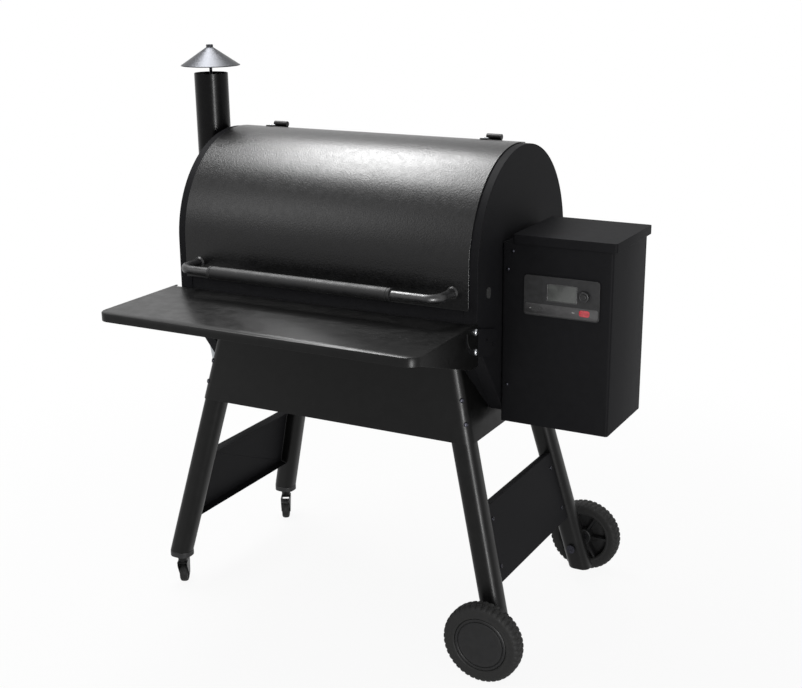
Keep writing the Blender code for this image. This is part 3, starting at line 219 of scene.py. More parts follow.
# Hot-dip zinc with its crystal spangle.
GALVANISED = Finish("galvanised_steel_spangle", "#8b8f92", "#a9adb0", 0.38, 0.1, 2.0, 0.01, 11.0,
                    "galvanised_steel", metallic=1.0, spangled=True)
# Porcelain enamel on the grates: glassy black with a slight ripple.
ENAMEL = Finish("porcelain_enamel", "#0e0e10", "#1a1a1d", 0.18, 0.05, 3.0, 0.03, 8.0, "enamelled_steel", coat=0.4)
# ABS moulded against an etched tool: dull, with a fine leathery grain.
ABS = Finish("etched_abs", "#141415", "#1b1b1d", 0.5, 0.06, 1.4, 0.03, 12.0, "black_plastic", specular=0.35)
# The bezel's lower band, the same ABS painted a warm grey.
GREY_ABS = Finish("grey_painted_abs", "#343334", "#3d3c3d", 0.42, 0.05, 1.2, 0.02, 9.0, "black_plastic")
# Silicone sleeve of the handle.
SLEEVE = Finish("silicone_sleeve", "#131314", "#1a1a1b", 0.55, 0.04, 1.6, 0.05, 20.0, "black_plastic",
                specular=0.3)
# Moulded tyre rubber, dusty grey-black.
TYRE = Finish("moulded_tyre_rubber", "#161616", "#222221", 0.72, 0.08, 1.8, 0.05, 11.0, "wheel_tyre", specular=0.25)
# Polypropylene wheel centre, smoother than the tyre.
WHEEL_PLASTIC = Finish("polypropylene_wheel", "#121213", "#19191a", 0.5, 0.05, 2.0, 0.03, 16.0, "wheel_tyre",
                       specular=0.25)
# Soft black rubber of the grommet and the probe sockets.
RUBBER = Finish("soft_black_rubber", "#121212", "#1c1c1c", 0.7, 0.06, 1.0, 0.02, 5.0, "black_rubber")
# Grey liquid-crystal panel behind clear acrylic.
LCD = Finish("liquid_crystal_panel", "#4b4d4b", "#565956", 0.22, 0.04, 0.9, 0.002, 26.0, "display_panel", coat=0.6)
# Translucent red acrylic of the signal window.
RED_ACRYLIC = Finish("red_acrylic", "#c3182a", "#e03a4a", 0.2, 0.04, 1.0, 0.006, 7.0, "display_panel", coat=0.7)
# White printing ink on small marks.
WHITE_INK = Finish("white_pad_print", "#c9c9c7", "#b4b4b2", 0.55, 0.05, 0.6, 0.004, 3.0, "black_plastic")


@dataclass
class Skin:
    """The points and faces of one surface, in the grill's own frame."""

    points: Array
    faces: list[list[int]]

    @staticmethod
    def joined(skins: Iterable["Skin"]) -> "Skin":
        """Several skins as one, without welding them."""
        parts = list(skins)
        starts = np.cumsum([0, *(len(skin.points) for skin in parts)]).tolist()
        faces = [[start + i for i in face] for start, skin in zip(starts, parts) for face in skin.faces]
        return Skin(np.concatenate([skin.points for skin in parts]), faces)


def grid_skin(points: Array, wrap_rows: bool = False, wrap_cols: bool = True, cap: Cap = Cap.FACE) -> Skin:
    """Join a grid of points into quads.

    Args:
        points: rows by columns by xyz. A row is one section of the surface.
        wrap_rows: joins the last row to the first.
        wrap_cols: joins the last point of a section to its first.
        cap: how the first and the last section are closed.

    Returns:
        The surface.
    """
    rows, cols = points.shape[:2]
    index = np.arange(rows * cols).reshape(rows, cols)
    loops = (index[0], index[-1])
    if wrap_cols:
        index = np.hstack((index, index[:, :1]))
    if wrap_rows:
        index = np.vstack((index, index[:1]))
    quads = np.stack((index[:-1, :-1], index[:-1, 1:], index[1:, 1:], index[1:, :-1]), axis=-1)
    faces = quads.reshape(-1, 4).tolist()
    for loop in loops:
        if cap is Cap.FACE:
            faces.append(loop.tolist())
        elif cap is Cap.STRIP:
            out, back = loop[:cols // 2], loop[cols // 2:][::-1]
            faces += np.stack((out[:-1], out[1:], back[1:], back[:-1]), axis=-1).tolist()
    return Skin(points.reshape(-1, 3), faces)


def around(steps: int) -> Array:
    """The angles of a full turn in equal steps."""
    return np.linspace(0, math.tau, steps, endpoint=False)


def mm(*points: Point) -> Array:
    """Points written in millimetres, as an array in metres."""
    return np.array(points, float) / 1000


def unit(vector: Any) -> Array:
    """A vector's direction, with a length of one."""
    return np.asarray(vector, float) / np.linalg.norm(vector)


def mirrored(half: Array) -> Array:
    """A run of (radius, height) points and its mirror image below, as one loop."""
    return np.concatenate((half, half[::-1] * (1, -1)))


def arc(centre: Point, radius: float, first: float, last: float, count: int) -> Array:
    """Points on a circle between two angles in degrees, both ends included."""
    angle = np.radians(np.linspace(first, last, count + 1))
    return np.stack((centre[0] + radius * np.cos(angle), centre[1] + radius * np.sin(angle)), axis=-1)


def rounded(low: Point, high: Point, radius: float, count: int = 6) -> Array:
    """The outline of a rectangle with round corners, counter-clockwise."""
    (x0, y0), (x1, y1) = np.add(low, radius), np.subtract(high, radius)
    corners = ((x1, y1), (x0, y1), (x0, y0), (x1, y0))
    return np.concatenate([arc(corner, radius, 90 * i, 90 * i + 90, count) for i, corner in enumerate(corners)])


def basis(axis: Array) -> tuple[Array, Array, Array]:
    """Two directions across an axis, and the axis itself, as a right-handed set."""
    axis = unit(axis)
    side = unit(np.cross(Z if abs(axis[2]) < 0.9 else X, axis))
    return side, np.cross(axis, side), axis


def turned(profile: Any, centre: Point, axis: Array, steps: int, closed: bool = False,
           ripple: Array | None = None) -> Skin:
    """A profile turned about an axis.

    Each point is the centre, plus its height along the axis, plus its radius towards the turning angle.

    Args:
        profile: radius and height of each point. An open profile starts and ends on the axis.
        centre: where height zero lies on the axis.
        axis: the direction of the heights.
        steps: sections in a full turn.
        closed: joins the profile's last point to its first.
        ripple: what is added to the radius, by step and profile point.

    Returns:
        The surface.
    """
    shape = np.asarray(profile, float)
    side, up, along = basis(axis)
    angle = around(steps)
    radius = np.repeat(shape[None, :, 0], steps, axis=0)
    if ripple is not None:
        radius = radius + ripple
    outward = np.cos(angle)[:, None] * side + np.sin(angle)[:, None] * up
    points = np.asarray(centre) + radius[..., None] * outward[:, None, :] + shape[None, :, 1, None] * along
    return grid_skin(points, wrap_rows=True, wrap_cols=closed, cap=Cap.OPEN)


def swept(path: Any, profile: Any, up: Array = Z, closed: bool = False) -> Skin:
    """A profile carried along a path.

    At each path point the profile's first axis lies across the path and square to up, its second across both.

    Args:
        path: the points of the path.
        profile: the points of the section about the path.
        up: a direction that the path never runs along.
        closed: joins the path's end to its start, where the ends are faces otherwise.

    Returns:
        The surface.
    """
    line = np.asarray(path, float)
    shape = np.asarray(profile, float)
    along = np.roll(line, -1, 0) - np.roll(line, 1, 0) if closed else np.gradient(line, axis=0)
    along /= np.linalg.norm(along, axis=1, keepdims=True)
    side = np.cross(along, up)
    side /= np.linalg.norm(side, axis=1, keepdims=True)
    top = np.cross(side, along)
    points = line[:, None] + shape[None, :, :1] * side[:, None] + shape[None, :, 1:] * top[:, None]
    return grid_skin(points, wrap_rows=closed, cap=Cap.OPEN if closed else Cap.FACE)


def extruded(loop: Array, half: float, rows: int = 2, cap: Cap = Cap.FACE) -> Skin:
    """A loop of (y, z) points carried along x from -half to half, in a number of sections."""
    points = np.empty((rows, len(loop), 3))
    points[..., 0] = np.linspace(-half, half, rows)[:, None]
    points[..., 1:] = loop
    return grid_skin(points, cap=cap)


def plate(outline: Array, origin: Point, across: Array, up: Array, thick: float, ease: float) -> Skin:
    """A flat piece with eased edges: its outline at four heights, drawn in at the upper two.

    Args:
        outline: the edge's points, along across and up.
        origin: where their zero lies on the face that carries the piece.
        across: the outline's first direction.
        up: its second direction.
        thick: how far the piece stands out, along across x up.
        ease: how far the edge is drawn in.

    Returns:
        The surface.
    """
    middle = outline.mean(axis=0)
    reach = np.abs(outline - middle).max(axis=0)
    drawn = middle + (outline - middle) * (1 - ease / reach)
    out = np.cross(across, up)
    shoulder = 0.3
    between = drawn * shoulder + outline * (1 - shoulder)
    loops = ((outline, 0.0), (outline, thick - ease), (between, thick - ease * shoulder), (drawn, thick))
    rows = [np.asarray(origin) + loop[:, :1] * across + loop[:, 1:] * up + height * out for loop, height in loops]
    return grid_skin(np.stack(rows))


def hexagon(half_width: float) -> Array:
    """A hexagon's radius at each step: its half-width over the cosine from the nearest side's middle."""
    return half_width / np.cos(np.mod(around(HEAD_STEPS), math.pi / 3) - math.pi / 6)


def screw(place: Point, out: Array, head: Head) -> Skin:
    """A domed screw head: a rounded profile, turned, whose recess follows a hexagon.

    Args:
        place: where the head's underside meets the panel.
        out: the direction that the head faces.
        head: its size.

    Returns:
        The closed surface.
    """
    mouth, foot, socket, narrowing = 7, 8, 0.36, 0.92
    profile = np.array(((0, -0.2), (1, -0.2), (1, 0.3), (0.94, 0.6), (0.8, 0.84), (0.62, 0.97), (0.45, 1.0),
                        (0.45, 1.0), (0.42, 0.45), (0, 0.4))) * head.value
    flat = hexagon(socket * head.value[0])
    ripple = np.zeros((HEAD_STEPS, len(profile)))
    ripple[:, mouth] = flat - profile[mouth, 0]
    ripple[:, foot] = narrowing * flat - profile[foot, 0]
    return turned(profile, place, out, HEAD_STEPS, ripple=ripple)


def nut(place: Point, out: Array, radius: float, high: float) -> Skin:
    """A hexagon nut, turned: a hexagon's radius, with its corners cut by a cone at both faces."""
    flats = 0.87
    profile = np.array(((0, 0), (flats, 0), (1, 0.15), (1, 0.85), (flats, 1), (0, 1))) * (radius, high)
    ripple = np.zeros((HEAD_STEPS, len(profile)))
    ripple[:, 2:4] = (hexagon(flats * radius) - radius)[:, None]
    return turned(profile, place, out, HEAD_STEPS, ripple=ripple)


def in_scene(name: str, data: bpy.types.ID) -> bpy.types.Object:
    """A new object of the scene, at the origin."""
    made = bpy.data.objects.new(name, data)
    bpy.context.scene.collection.objects.link(made)
    return made


def shown(name: str, mesh: bpy.types.Mesh, finish: Finish, body: str, replaces: Iterable[str],
          edge: float, smooth: float) -> None:
    """Put a finished mesh in the scene.

    Args:
        name: of the piece.
        mesh: its mesh, in the CAD's frame.
        finish: its material.
        body: the CAD body that it rides on.
        replaces: the CAD nodes that it stands for.
        edge: the width of the eased edges, or 0.
        smooth: edges up to this many degrees are shaded round.
    """
    if "custom_normal" in mesh.attributes:
        mesh.attributes.remove(mesh.attributes["custom_normal"])
    mesh.materials.clear()
    mesh.materials.append(finish.material())
    mesh.shade_smooth()
    mesh.set_sharp_from_angle(angle=math.radians(smooth))
    piece = in_scene(name, mesh)
    if edge:
        ease = piece.modifiers.new("eased_edges", "BEVEL")
        ease.width = edge
        ease.segments = 2
        ease.limit_method = "ANGLE"
        ease.angle_limit = math.radians(smooth)
    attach(piece, body)
    if replaces:
        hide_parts(*replaces)
    LOG.info("%s on %s: %d faces, %s", name, body, len(mesh.polygons), finish.name)


def put(name: str, skins: Iterable[Skin] | Skin, finish: Finish, body: str, *replaces: str,
        edge: float = 0.0, smooth: float = 35.0) -> None:
    """Make a piece of closed skins, welded, with faces outward.

    Args:
        skins: one or more surfaces.
        name, finish, body, replaces, edge, smooth: as shown takes them.
    """
    skin = skins if isinstance(skins, Skin) else Skin.joined(skins)
    mesh = bpy.data.meshes.new(name)
    mesh.from_pydata((skin.points + SHIFT).tolist(), [], skin.faces)
    work = bmesh.new()
    work.from_mesh(mesh)
    bmesh.ops.remove_doubles(work, verts=work.verts, dist=WELD_GAP)
    bmesh.ops.recalc_face_normals(work, faces=work.faces)
    work.to_mesh(mesh)
    work.free()
    shown(name, mesh, finish, body, replaces, edge, smooth)


def soften(finish: Finish, edge: float, *nodes: str, smooth: float = 40.0) -> None:
    """Stand a merged copy of each CAD node in its place, with eased folds and round-shaded curves.

    Args:
        nodes: the CAD nodes, each of which keeps its body.
        finish, edge, smooth: as shown takes them.
    """
    for node in nodes:
        mesh = frame["nodes"][node].data.copy()
        work = bmesh.new()
        work.from_mesh(mesh)
        bmesh.ops.remove_doubles(work, verts=work.verts, dist=SOLID_GAP)
        bmesh.ops.dissolve_limit(work, angle_limit=math.radians(FLAT_DEGREES), verts=work.verts, edges=work.edges)
        work.to_mesh(mesh)
        work.free()
        body = frame["nodes"][node]["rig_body"]
        shown(f"{node}_dressed", mesh, finish, body, (node,), edge, smooth)


def dress(finish: Finish, *nodes: str) -> None:
    """Give CAD nodes that stay as they are their material."""
    for node in nodes:
        mesh = frame["nodes"][node].data
        mesh.materials.clear()
        mesh.materials.append(finish.material())
        LOG.info("%s keeps its solid: %s", node, finish.name)


@dataclass
class Barrel:
    """The cooking chamber: a folded trough between two pressed end pans."""

    half_length: float = 0.4022
    arc_radius: float = 0.2509
    arc_z: float = 0.9445
    flare: Pair = (0.2536, 0.789)
    floor: Pair = (0.1054, 0.585)
    lip_z: float = 0.871
    crown_angle: float = -7.5
    sheet: float = 0.002
    gap: float = 0.0003
    ledge_z: float = 0.8385
    ledge_wide: float = 0.014
    ledge_deep: float = 0.0065
    ledge_round: float = 0.0012
    ledge_inset: float = 0.01

    def side(self, z: Any, offset: float) -> Any:
        """Where the upright front wall stands along y at one or more heights, moved out by an offset."""
        share = (self.arc_z - z) / (self.arc_z - self.flare[1])
        return -(self.arc_radius + share * (self.flare[0] - self.arc_radius)) - offset

    def corners(self, offset: float) -> Array:
        """The front flare and floor corners, moved out along their mitres."""
        wall = np.subtract(self.flare, self.floor)
        across, rise = wall / np.linalg.norm(wall)
        return np.array(((-self.flare[0] - offset, self.flare[1] - offset * (1 - rise) / across),
                         (-self.floor[0] - offset * (1 - across) / rise, self.floor[1] - offset)))

    def over_top(self, offset: float, first: float, last: float, count: int) -> Array:
        """The round top between two angles from the crown, positive to the front."""
        return arc((0, self.arc_z), self.arc_radius + offset, 90 + first, 90 + last, count)

    def trough(self) -> Skin:
        """The folded sheet from the rear of the crown, under the fire and up to the front lip."""
        runs = []
        for offset in (-self.sheet - self.gap, -2 * self.sheet - self.gap):
            front = self.corners(offset)
            back = self.over_top(offset, self.crown_angle, -90, 44)
            lip = ((self.side(self.lip_z, offset), self.lip_z),)
            runs.append(np.concatenate((back, front * (-1, 1), front[::-1], lip)))
        return extruded(np.concatenate((runs[0], runs[1][::-1])), self.half_length, 9, Cap.STRIP)

    def ledge(self, side: int) -> Skin:
        """The angle that a grate rests on, along the inside of one wall."""
        wall = -self.side(self.ledge_z, -2 * self.sheet - self.gap) + self.sheet / 2
        near, far = sorted((side * wall, side * (wall - self.ledge_wide)))
        outline = rounded((near, self.ledge_z - self.ledge_deep), (far, self.ledge_z - self.gap), self.ledge_round, 3)
        return extruded(outline, self.half_length - self.ledge_inset)

    def build(self) -> None:
        """Make the trough with its ledges, and ease the end pans."""
        put("barrel_trough", [self.trough(), self.ledge(-1), self.ledge(1)], BODY_COAT, "base", "barrel_shell",
            edge=0.0005, smooth=30)
        soften(BODY_COAT, 0.0008, "left_end_panel", "right_end_panel")
        dress(RUBBER, "probe_grommet")


@dataclass
class Lid:
    """The curved lid with its hinges and its handle."""

    barrel: Barrel
    half: float = 0.385
    rise: float = 0.0005
    rear_angle: float = -11.25
    edge_z: float = 0.859
    handle_y: float = -0.33
    handle_z: float = 0.897
    handle_half: float = 0.345
    rod_radius: float = 0.0105
    rod_gap: float = 0.0003
    rod_straight: float = 0.012
    bend: float = 0.032
    grip_radius: float = 0.0155
    grip_half: float = 0.246
    grip_x: float = -0.013
    hinge_x: float = 0.3
    leaf_offset: float = 0.0096
    leaf_high: float = 0.0029
    leaf_screws_y: Pair = (0.028, 0.043)

    @property
    def outside(self) -> float:
        """How far the lid's outer face lies outside the barrel's line."""
        return self.rise + self.barrel.sheet

    def sheet_skin(self) -> Skin:
        """The lid's sheet: an arc over the crown, then nearly straight down to its front edge."""
        runs = []
        z = np.linspace(self.barrel.arc_z, self.edge_z, 9)[1:]
        for offset in (self.outside, self.rise):
            front = np.column_stack((self.barrel.side(z, offset), z))
            runs.append(np.concatenate((self.barrel.over_top(offset, self.rear_angle, 90, 81), front)))
        return extruded(np.concatenate((runs[0], runs[1][::-1])), self.half, 13, Cap.STRIP)

    def rod(self) -> Skin:
        """The handle's rod: out from the lid, round a bend, along the front and back in again."""
        start = self.barrel.side(self.handle_z, self.outside + self.rod_gap)
        foot = ((self.handle_half, start), (self.handle_half, start - self.rod_straight))
        corner = arc((self.handle_half - self.bend, self.handle_y + self.bend), self.bend, 0, -90, 14)
        right = np.concatenate((foot, corner))
        plan = np.concatenate((right, right[::-1] * (-1, 1)))
        path = np.column_stack((plan, np.full(len(plan), self.handle_z)))
        return swept(path, arc((0, 0), self.rod_radius, 0, 360, 28)[:-1])

    def collar(self, side: int) -> Skin:
        """The weld that rounds the rod into the lid."""
        start = self.barrel.side(self.handle_z, self.outside)
        profile = mm((0, 0), (14.5, 0), (13.8, 1.8), (12.2, 3.4), (11.2, 5.5), (0, 5.5))
        return turned(profile, (side * self.handle_half, start, self.handle_z), -Y, 36)

    def grip(self) -> Skin:
        """The sleeve: a tube along x with rounded ends and a groove near each."""
        half, radius = self.grip_half, self.grip_radius
        end = mm((-10, 0), (-9.4, -0.9), (-8, -0.9), (-7.4, 0), (-3, 0), (-1, -0.8), (0, -2.6)) + (half, radius)
        right = np.concatenate((((0, radius),), end, ((half, self.rod_radius + self.rod_gap),)))
        loop = np.concatenate((right[::-1], right[1:] * (-1, 1)))[:, ::-1]
        return turned(loop, (self.grip_x, self.handle_y, self.handle_z), X, 40, closed=True)

    def hinge_screws(self) -> Iterable[Skin]:
        """Two screws through each hinge leaf on the crown, square to the sheet."""
        radius = self.barrel.arc_radius + self.outside + self.leaf_high
        for side, y in product((-1, 1), self.leaf_screws_y):
            lean = math.asin(y / radius)
            out = np.array((0, math.sin(lean), math.cos(lean)))
            yield screw((side * self.hinge_x - self.leaf_offset, 0, self.barrel.arc_z) + radius * out, out, Head.LEAF)

    def build(self) -> None:
        """Make the sheet, the handle and the hinges' screws, and ease the hinges."""
        put("lid_sheet", self.sheet_skin(), LID_COAT, "lid", "lid_shell", edge=0.0007, smooth=30)
        put("handle_rod", self.rod(), ROD_COAT, "lid", "lid_handle_rod")
        put("handle_welds", [self.collar(-1), self.collar(1)], ROD_COAT, "lid")
        put("handle_sleeve", self.grip(), SLEEVE, "lid", "lid_handle_grip", smooth=30)
        put("hinge_leaf_screws", self.hinge_screws(), ZINC_PLATE, "lid")
        soften(STAND_COAT, 0.0003, "lid_hinge_left", "body_hinge_left", "lid_hinge_right", "body_hinge_right")


@dataclass
class Chimney:
    """The flue: an elbow on the left end, a pipe and a hat on a threaded stud."""

    x: float = -0.4665
    y: float = -0.0012
    radius: float = 0.0428
    sheet: float = 0.002
    bottom: float = 1.046
    top: float = 1.3268
    rim_ease: float = 0.0006
    strap_half: float = 0.006
    strap_down: float = 0.03
    strap_thick: float = 0.003
    stud_radius: float = 0.004
    stud_pitch: float = 0.0025
    stud_down: float = 0.028
    thread: float = 0.0003
    hat_radius: float = 0.0753
    hat_rim: float = 1.3448
    hat_top: float = 1.397
    nut_down: Pair = (0.0068, 0.0146)
    flange_x: float = -0.4088
    flange_ring: float = 0.0375
    duct_z: float = 1.0

    def pipe(self) -> Skin:
        """The pipe's wall, with its rim eased over."""
        out, bore, ease = self.radius, self.radius - self.sheet, self.rim_ease
        loop = ((bore, self.bottom), (bore, self.top - 0.0005), (bore + ease, self.top), (out - ease, self.top),
                (out, self.top - ease), (out, self.bottom))
        return turned(loop, (self.x, self.y, 0), Z, 72, closed=True)

    def cross_bar(self) -> Skin:
        """The strap inside the pipe that holds the stud."""
        reach = self.radius - self.sheet / 2
        outline = rounded((-reach, -self.strap_half), (reach, self.strap_half), 0.001, 2)
        return plate(outline, (self.x, self.y, self.top - self.strap_down), X, Y, self.strap_thick, 0.0003)

    def stud(self) -> Skin:
        """The threaded stud: its radius follows a sine that climbs one pitch in each turn."""
        height = np.arange(self.top - self.stud_down, self.hat_top - 0.004, self.stud_pitch / 6)[:, None]
        angle = around(16)
        wave = np.sin(math.tau * height / self.stud_pitch - angle)
        radius = self.stud_radius - self.thread + self.thread * wave
        return grid_skin(np.stack((self.x + radius * np.cos(angle), self.y + radius * np.sin(angle),
                                   height + 0 * radius), axis=-1))

    def hat(self) -> Skin:
        """The hat: a cone with a rolled rim, turned about the stud."""
        rim, top = self.hat_rim, self.hat_top - self.nut_down[0]
        crown, bore, wire = 0.0085, 0.0044, 0.0012
        outer = np.linspace((crown, top), (self.hat_radius - 0.002, rim + 0.0022), 12)
        bead = arc((self.hat_radius - 0.0016, rim + wire), wire, 60, -120, 8)
        inner = outer[::-1] - (0.0006, 0.0014)
        hole = ((bore, inner[-1, 1] + 0.0002), (bore, top))
        return turned(np.concatenate((outer, bead, inner, hole)), (self.x, self.y, 0), Z, 96, closed=True)

    def build(self) -> None:
        """Make the pipe with its strap and stud, the hat, and the flange's screws."""
        soften(BODY_COAT, 0.0006, "chimney_base")
        put("flue_pipe", self.pipe(), PIPE_COAT, "base", "chimney_pipe", smooth=30)
        put("flue_strap", self.cross_bar(), BODY_COAT, "base")
        foot = nut((self.x, self.y, self.top - 0.027), Z, 0.008, 0.006)
        put("hat_stud", [self.stud(), foot], BLACK_OXIDE, "base", smooth=50)
        put("flue_hat", self.hat(), SPUN_STEEL, "flue_cap", "chimney_cap", smooth=30)
        put("hat_nuts", [nut((self.x, self.y, self.hat_top - down), Z, *size)
                         for down, size in zip(self.nut_down, ((0.0088, 0.0066), (0.0085, 0.0056)))],
            SPUN_STEEL, "flue_cap")
        ring = arc((self.y, self.duct_z), self.flange_ring, 45, 315, 3)
        put("flue_flange_screws", [screw((self.flange_x, *place), -X, Head.FLANGE) for place in ring], BLACK_OXIDE,
            "base")


@dataclass
class Hopper:
    """The pellet hopper's cabinet, its lid and the control panel on its front."""

    front_y: float = -0.1225
    back_y: float = 0.1065
    panel_y: float = -0.1265
    dial: Pair = (0.6079, 0.888)
    lens: tuple[Pair, Pair] = ((0.5958, 0.8412), (0.6208, 0.8562))
    screen: tuple[Pair, Pair] = ((0.519, 0.8681), (0.5895, 0.9077))
    band: tuple[Pair, Pair] = ((0.4655, 0.8347), (0.64, 0.86))
    marks_x: Pair = (0.579, 0.477)
    marks_z: Pair = (0.8474, 0.8489)
    mark_wide: float = 0.0062
    flutes: int = 30
    flute_deep: float = 0.00025
    vent: Pair = (0.56, 0.7)
    vent_half: float = 0.035
    vent_radius: float = 0.0045
    vent_pitch: float = 0.016
    vents: int = 5
    front_screws: tuple[Pair, ...] = ((0.4323, 0.9735), (0.4207, 0.9308), (0.4223, 0.6569))
    back_screws_x: Pair = (0.42, 0.657)
    back_screws_z: tuple[float, ...] = (0.59, 0.79, 0.96)

    def on_panel(self, low: Point, high: Point, radius: float, thick: float, ease: float, count: int = 6) -> Skin:
        """A flat piece with round corners on the control panel's face."""
        return plate(rounded(low, high, radius, count), (0, self.panel_y, 0), X, Z, thick, ease)

    def window_frame(self) -> Skin:
        """A slim round bead, half sunk in the panel, carried round the screen."""
        edge = rounded(*self.screen, 0.003, 5)
        path = np.column_stack((edge[:, 0], np.full(len(edge), self.panel_y), edge[:, 1]))
        return swept(path, arc((0, 0), 0.0009, 0, 360, 10)[:-1], up=Y, closed=True)

    def knob(self) -> Skin:
        """The dial: a cup whose rim is fluted by a cosine of the turning angle."""
        profile = mm((0, -2.8), (4.8, -2.8), (4.8, 0), (12.1, 0.3), (12.5, 1), (12.5, 7), (11.9, 8.3), (10.7, 9),
                     (7.4, 9), (6.8, 8.5), (6.8, 3.5), (0, 3.5))
        angle = around(4 * self.flutes)
        flute = np.zeros((len(angle), len(profile)))
        flute[:, 4:6] = self.flute_deep * (np.cos(angle * self.flutes) - 1)[:, None]
        return turned(profile, (self.dial[0], self.panel_y - 0.0003, self.dial[1]), -Y, len(angle), ripple=flute)

    def louvres(self) -> Iterable[Skin]:
        """Pressed vents low on the back: half-round hoods that fade out at both ends."""
        along = np.linspace(-1, 1, 25)[:, None]
        size = self.vent_radius * np.sqrt(np.clip(1 - along ** 4, 0.0004, 1))
        angle = np.radians(np.linspace(0, 180, 9))
        x, y, z = np.broadcast_arrays(self.vent[0] + self.vent_half * along, self.back_y + size * np.sin(angle) * 0.8,
                                      self.vent[1] + size * np.cos(angle))
        for row in range(self.vents):
            yield grid_skin(np.stack((x, y, z + self.vent_pitch * row), axis=-1))

    def build(self) -> None:
        """Ease the cabinet and its lid, and make the panel, the screws and the vents."""
        soften(BODY_COAT, 0.0012, "hopper_shell", "hopper_lid")
        soften(ABS, 0.0007, "controller_bezel")
        dress(LCD, "controller_screen")
        dress(RUBBER, "probe_jack")
        dress(ABS, "dial_button", "power_inlet", "auger_motor", "fan_housing", "fan_impeller")
        dress(GALVANISED, "hopper_bin")
        put("screen_bead", self.window_frame(), GREY_ABS, "base", smooth=60)
        put("panel_band", self.on_panel(*self.band, 0.005, 0.0004, 0.0002), GREY_ABS, "base")
        lens = self.on_panel(*self.lens, 0.0055, 0.0016, 0.0007)
        put("signal_lens", lens, RED_ACRYLIC, "base", smooth=60)
        low, high = self.marks_z
        marks = [self.on_panel((x, low), (x + self.mark_wide, high), 0.0006, 0.0007, 0.0001, 3) for x in self.marks_x]
        put("panel_marks", marks, WHITE_INK, "base")
        put("fluted_dial", self.knob(), ABS, "dial", "controller_dial", smooth=50)
        heads = [screw((x, self.front_y, z), -Y, Head.CABINET) for x, z in self.front_screws]
        heads += [screw((x, self.back_y, z), Y, Head.CABINET) for x in self.back_screws_x for z in self.back_screws_z]
        put("cabinet_screws", heads, BLACK_OXIDE, "base")
        put("cabinet_louvres", self.louvres(), BODY_COAT, "base", smooth=50)


@dataclass
class Shelf:
    """The folding front shelf and the brackets that carry it."""

    bolt_x: float = 0.4144
    bolt_y: float = -0.277
    bolt_z: Pair = (0.8212, 0.7756)
    bracket_x: float = 0.4114
    bracket_screws: tuple[Pair, ...] = ((-0.2129, 0.7854), (-0.1784, 0.7683))

    def build(self) -> None:
        """Ease the tray and the brackets, and set bolts over the pins and sunk screws."""
        soften(STAND_COAT, 0.0012, "front_shelf", smooth=50)
        soften(BODY_COAT, 0.0004, "shelf_bracket_left", "shelf_bracket_right")
        bolts = [screw((side * self.bolt_x, self.bolt_y, z), side * X, Head.SHELF)
                 for side in (-1, 1) for z in self.bolt_z]
        put("shelf_bolts", bolts, ZINC_PLATE, "base")
        heads = [screw((side * self.bracket_x, y, z), side * X, Head.BRACKET)
                 for side in (-1, 1) for y, z in self.bracket_screws]
        put("bracket_screws", heads, BLACK_OXIDE, "base")


@dataclass
class Wheel:
    """One running wheel: a tyre with blocks on its tread, on a moulded centre."""

    name: str
    end: int
    x: float = 0.4631
    y: float = 0.33
    radius: float = 0.0969
    blocks: int = 42
    steps_per_block: int = 8
    dip: float = 0.0024
    shoulder: Pair = (0.087, 0.093)
    groove: float = 0.0014
    spoke_reach: Pair = (0.0205, 0.0648)

    @property
    def centre(self) -> tuple[float, float, float]:
        """The middle of the wheel."""
        return (self.x, self.end * self.y, self.radius)

    def tyre(self) -> Skin:
        """The tyre: a rounded profile whose tread dips between two staggered rows of blocks.

        The dip is a smooth square wave of the turning angle, out of step on the two halves, with a groove between.
        """
        loop = mirrored(mm(
            (65.2, 18.6), (66.2, 20.4), (68.5, 21.4), (70.8, 21.8), (72.5, 21.2), (74, 21), (79, 21.6), (84, 21.7),
            (87.6, 21.2), (90.5, 20), (93, 18), (95, 15.2), (96.2, 12), (96.8, 8), (96.9, 4), (96.9, 1.6), (96.9, 0.6)))
        radius, height = loop.T[:, None]
        steps = self.blocks * self.steps_per_block
        angle = around(steps)[:, None]
        stagger = np.where(height > 0, 0.0, math.pi)
        wave = 0.5 - 0.5 * np.tanh(3.0 * np.cos(angle * self.blocks + stagger) + 1.2)
        middle = 0.7 * np.exp(-(height / self.groove) ** 2)
        dip = self.dip * np.interp(radius, self.shoulder, (0, 1)) * np.maximum(wave, middle)
        return turned(loop, self.centre, self.end * Y, steps, closed=True, ripple=-dip)

    def hub(self) -> Skin:
        """The moulded centre: a dished disc outside, and a web with a bored boss inside."""
        profile = mm((0, 18.6), (12, 18.7), (30, 19), (46, 19.4), (54.5, 19.6), (55.6, 19), (56, 17.6), (57.2, 17.6),
                     (57.7, 19.2), (59, 20.4), (61.5, 20.6), (64, 19.6), (65.1, 18), (65.1, 4.5), (64, 4), (22.5, 4),
                     (22, 3), (22, -20.5), (20.5, -21.8), (6.8, -21.8), (6.8, 14.5), (0, 14.5))
        return turned(profile, self.centre, self.end * Y, 64)

    def spokes(self) -> Iterable[Skin]:
        """Six ribs between the boss and the rim, thinner at their open edge."""
        section = mm((-4, 5), (4, 5), (3.3, -15), (2.6, -16), (-2.6, -16), (-3.3, -15))
        for turn in np.arange(6) * math.pi / 3:
            out = np.array((math.cos(turn), 0, math.sin(turn)))
            rib = self.centre + section[:, :1] * np.cross(out, Y) + section[:, 1:] * self.end * Y
            yield grid_skin(np.stack([rib + reach * out for reach in self.spoke_reach]))

    def build(self) -> None:
        """Make the tyre and the centre in place of the plain wheel."""
        put(f"{self.name}_tyre", self.tyre(), TYRE, f"{self.name}_wheel", f"wheel_{self.name}", smooth=40)
        put(f"{self.name}_wheel_centre", [self.hub(), *self.spokes()], WHEEL_PLASTIC, f"{self.name}_wheel")


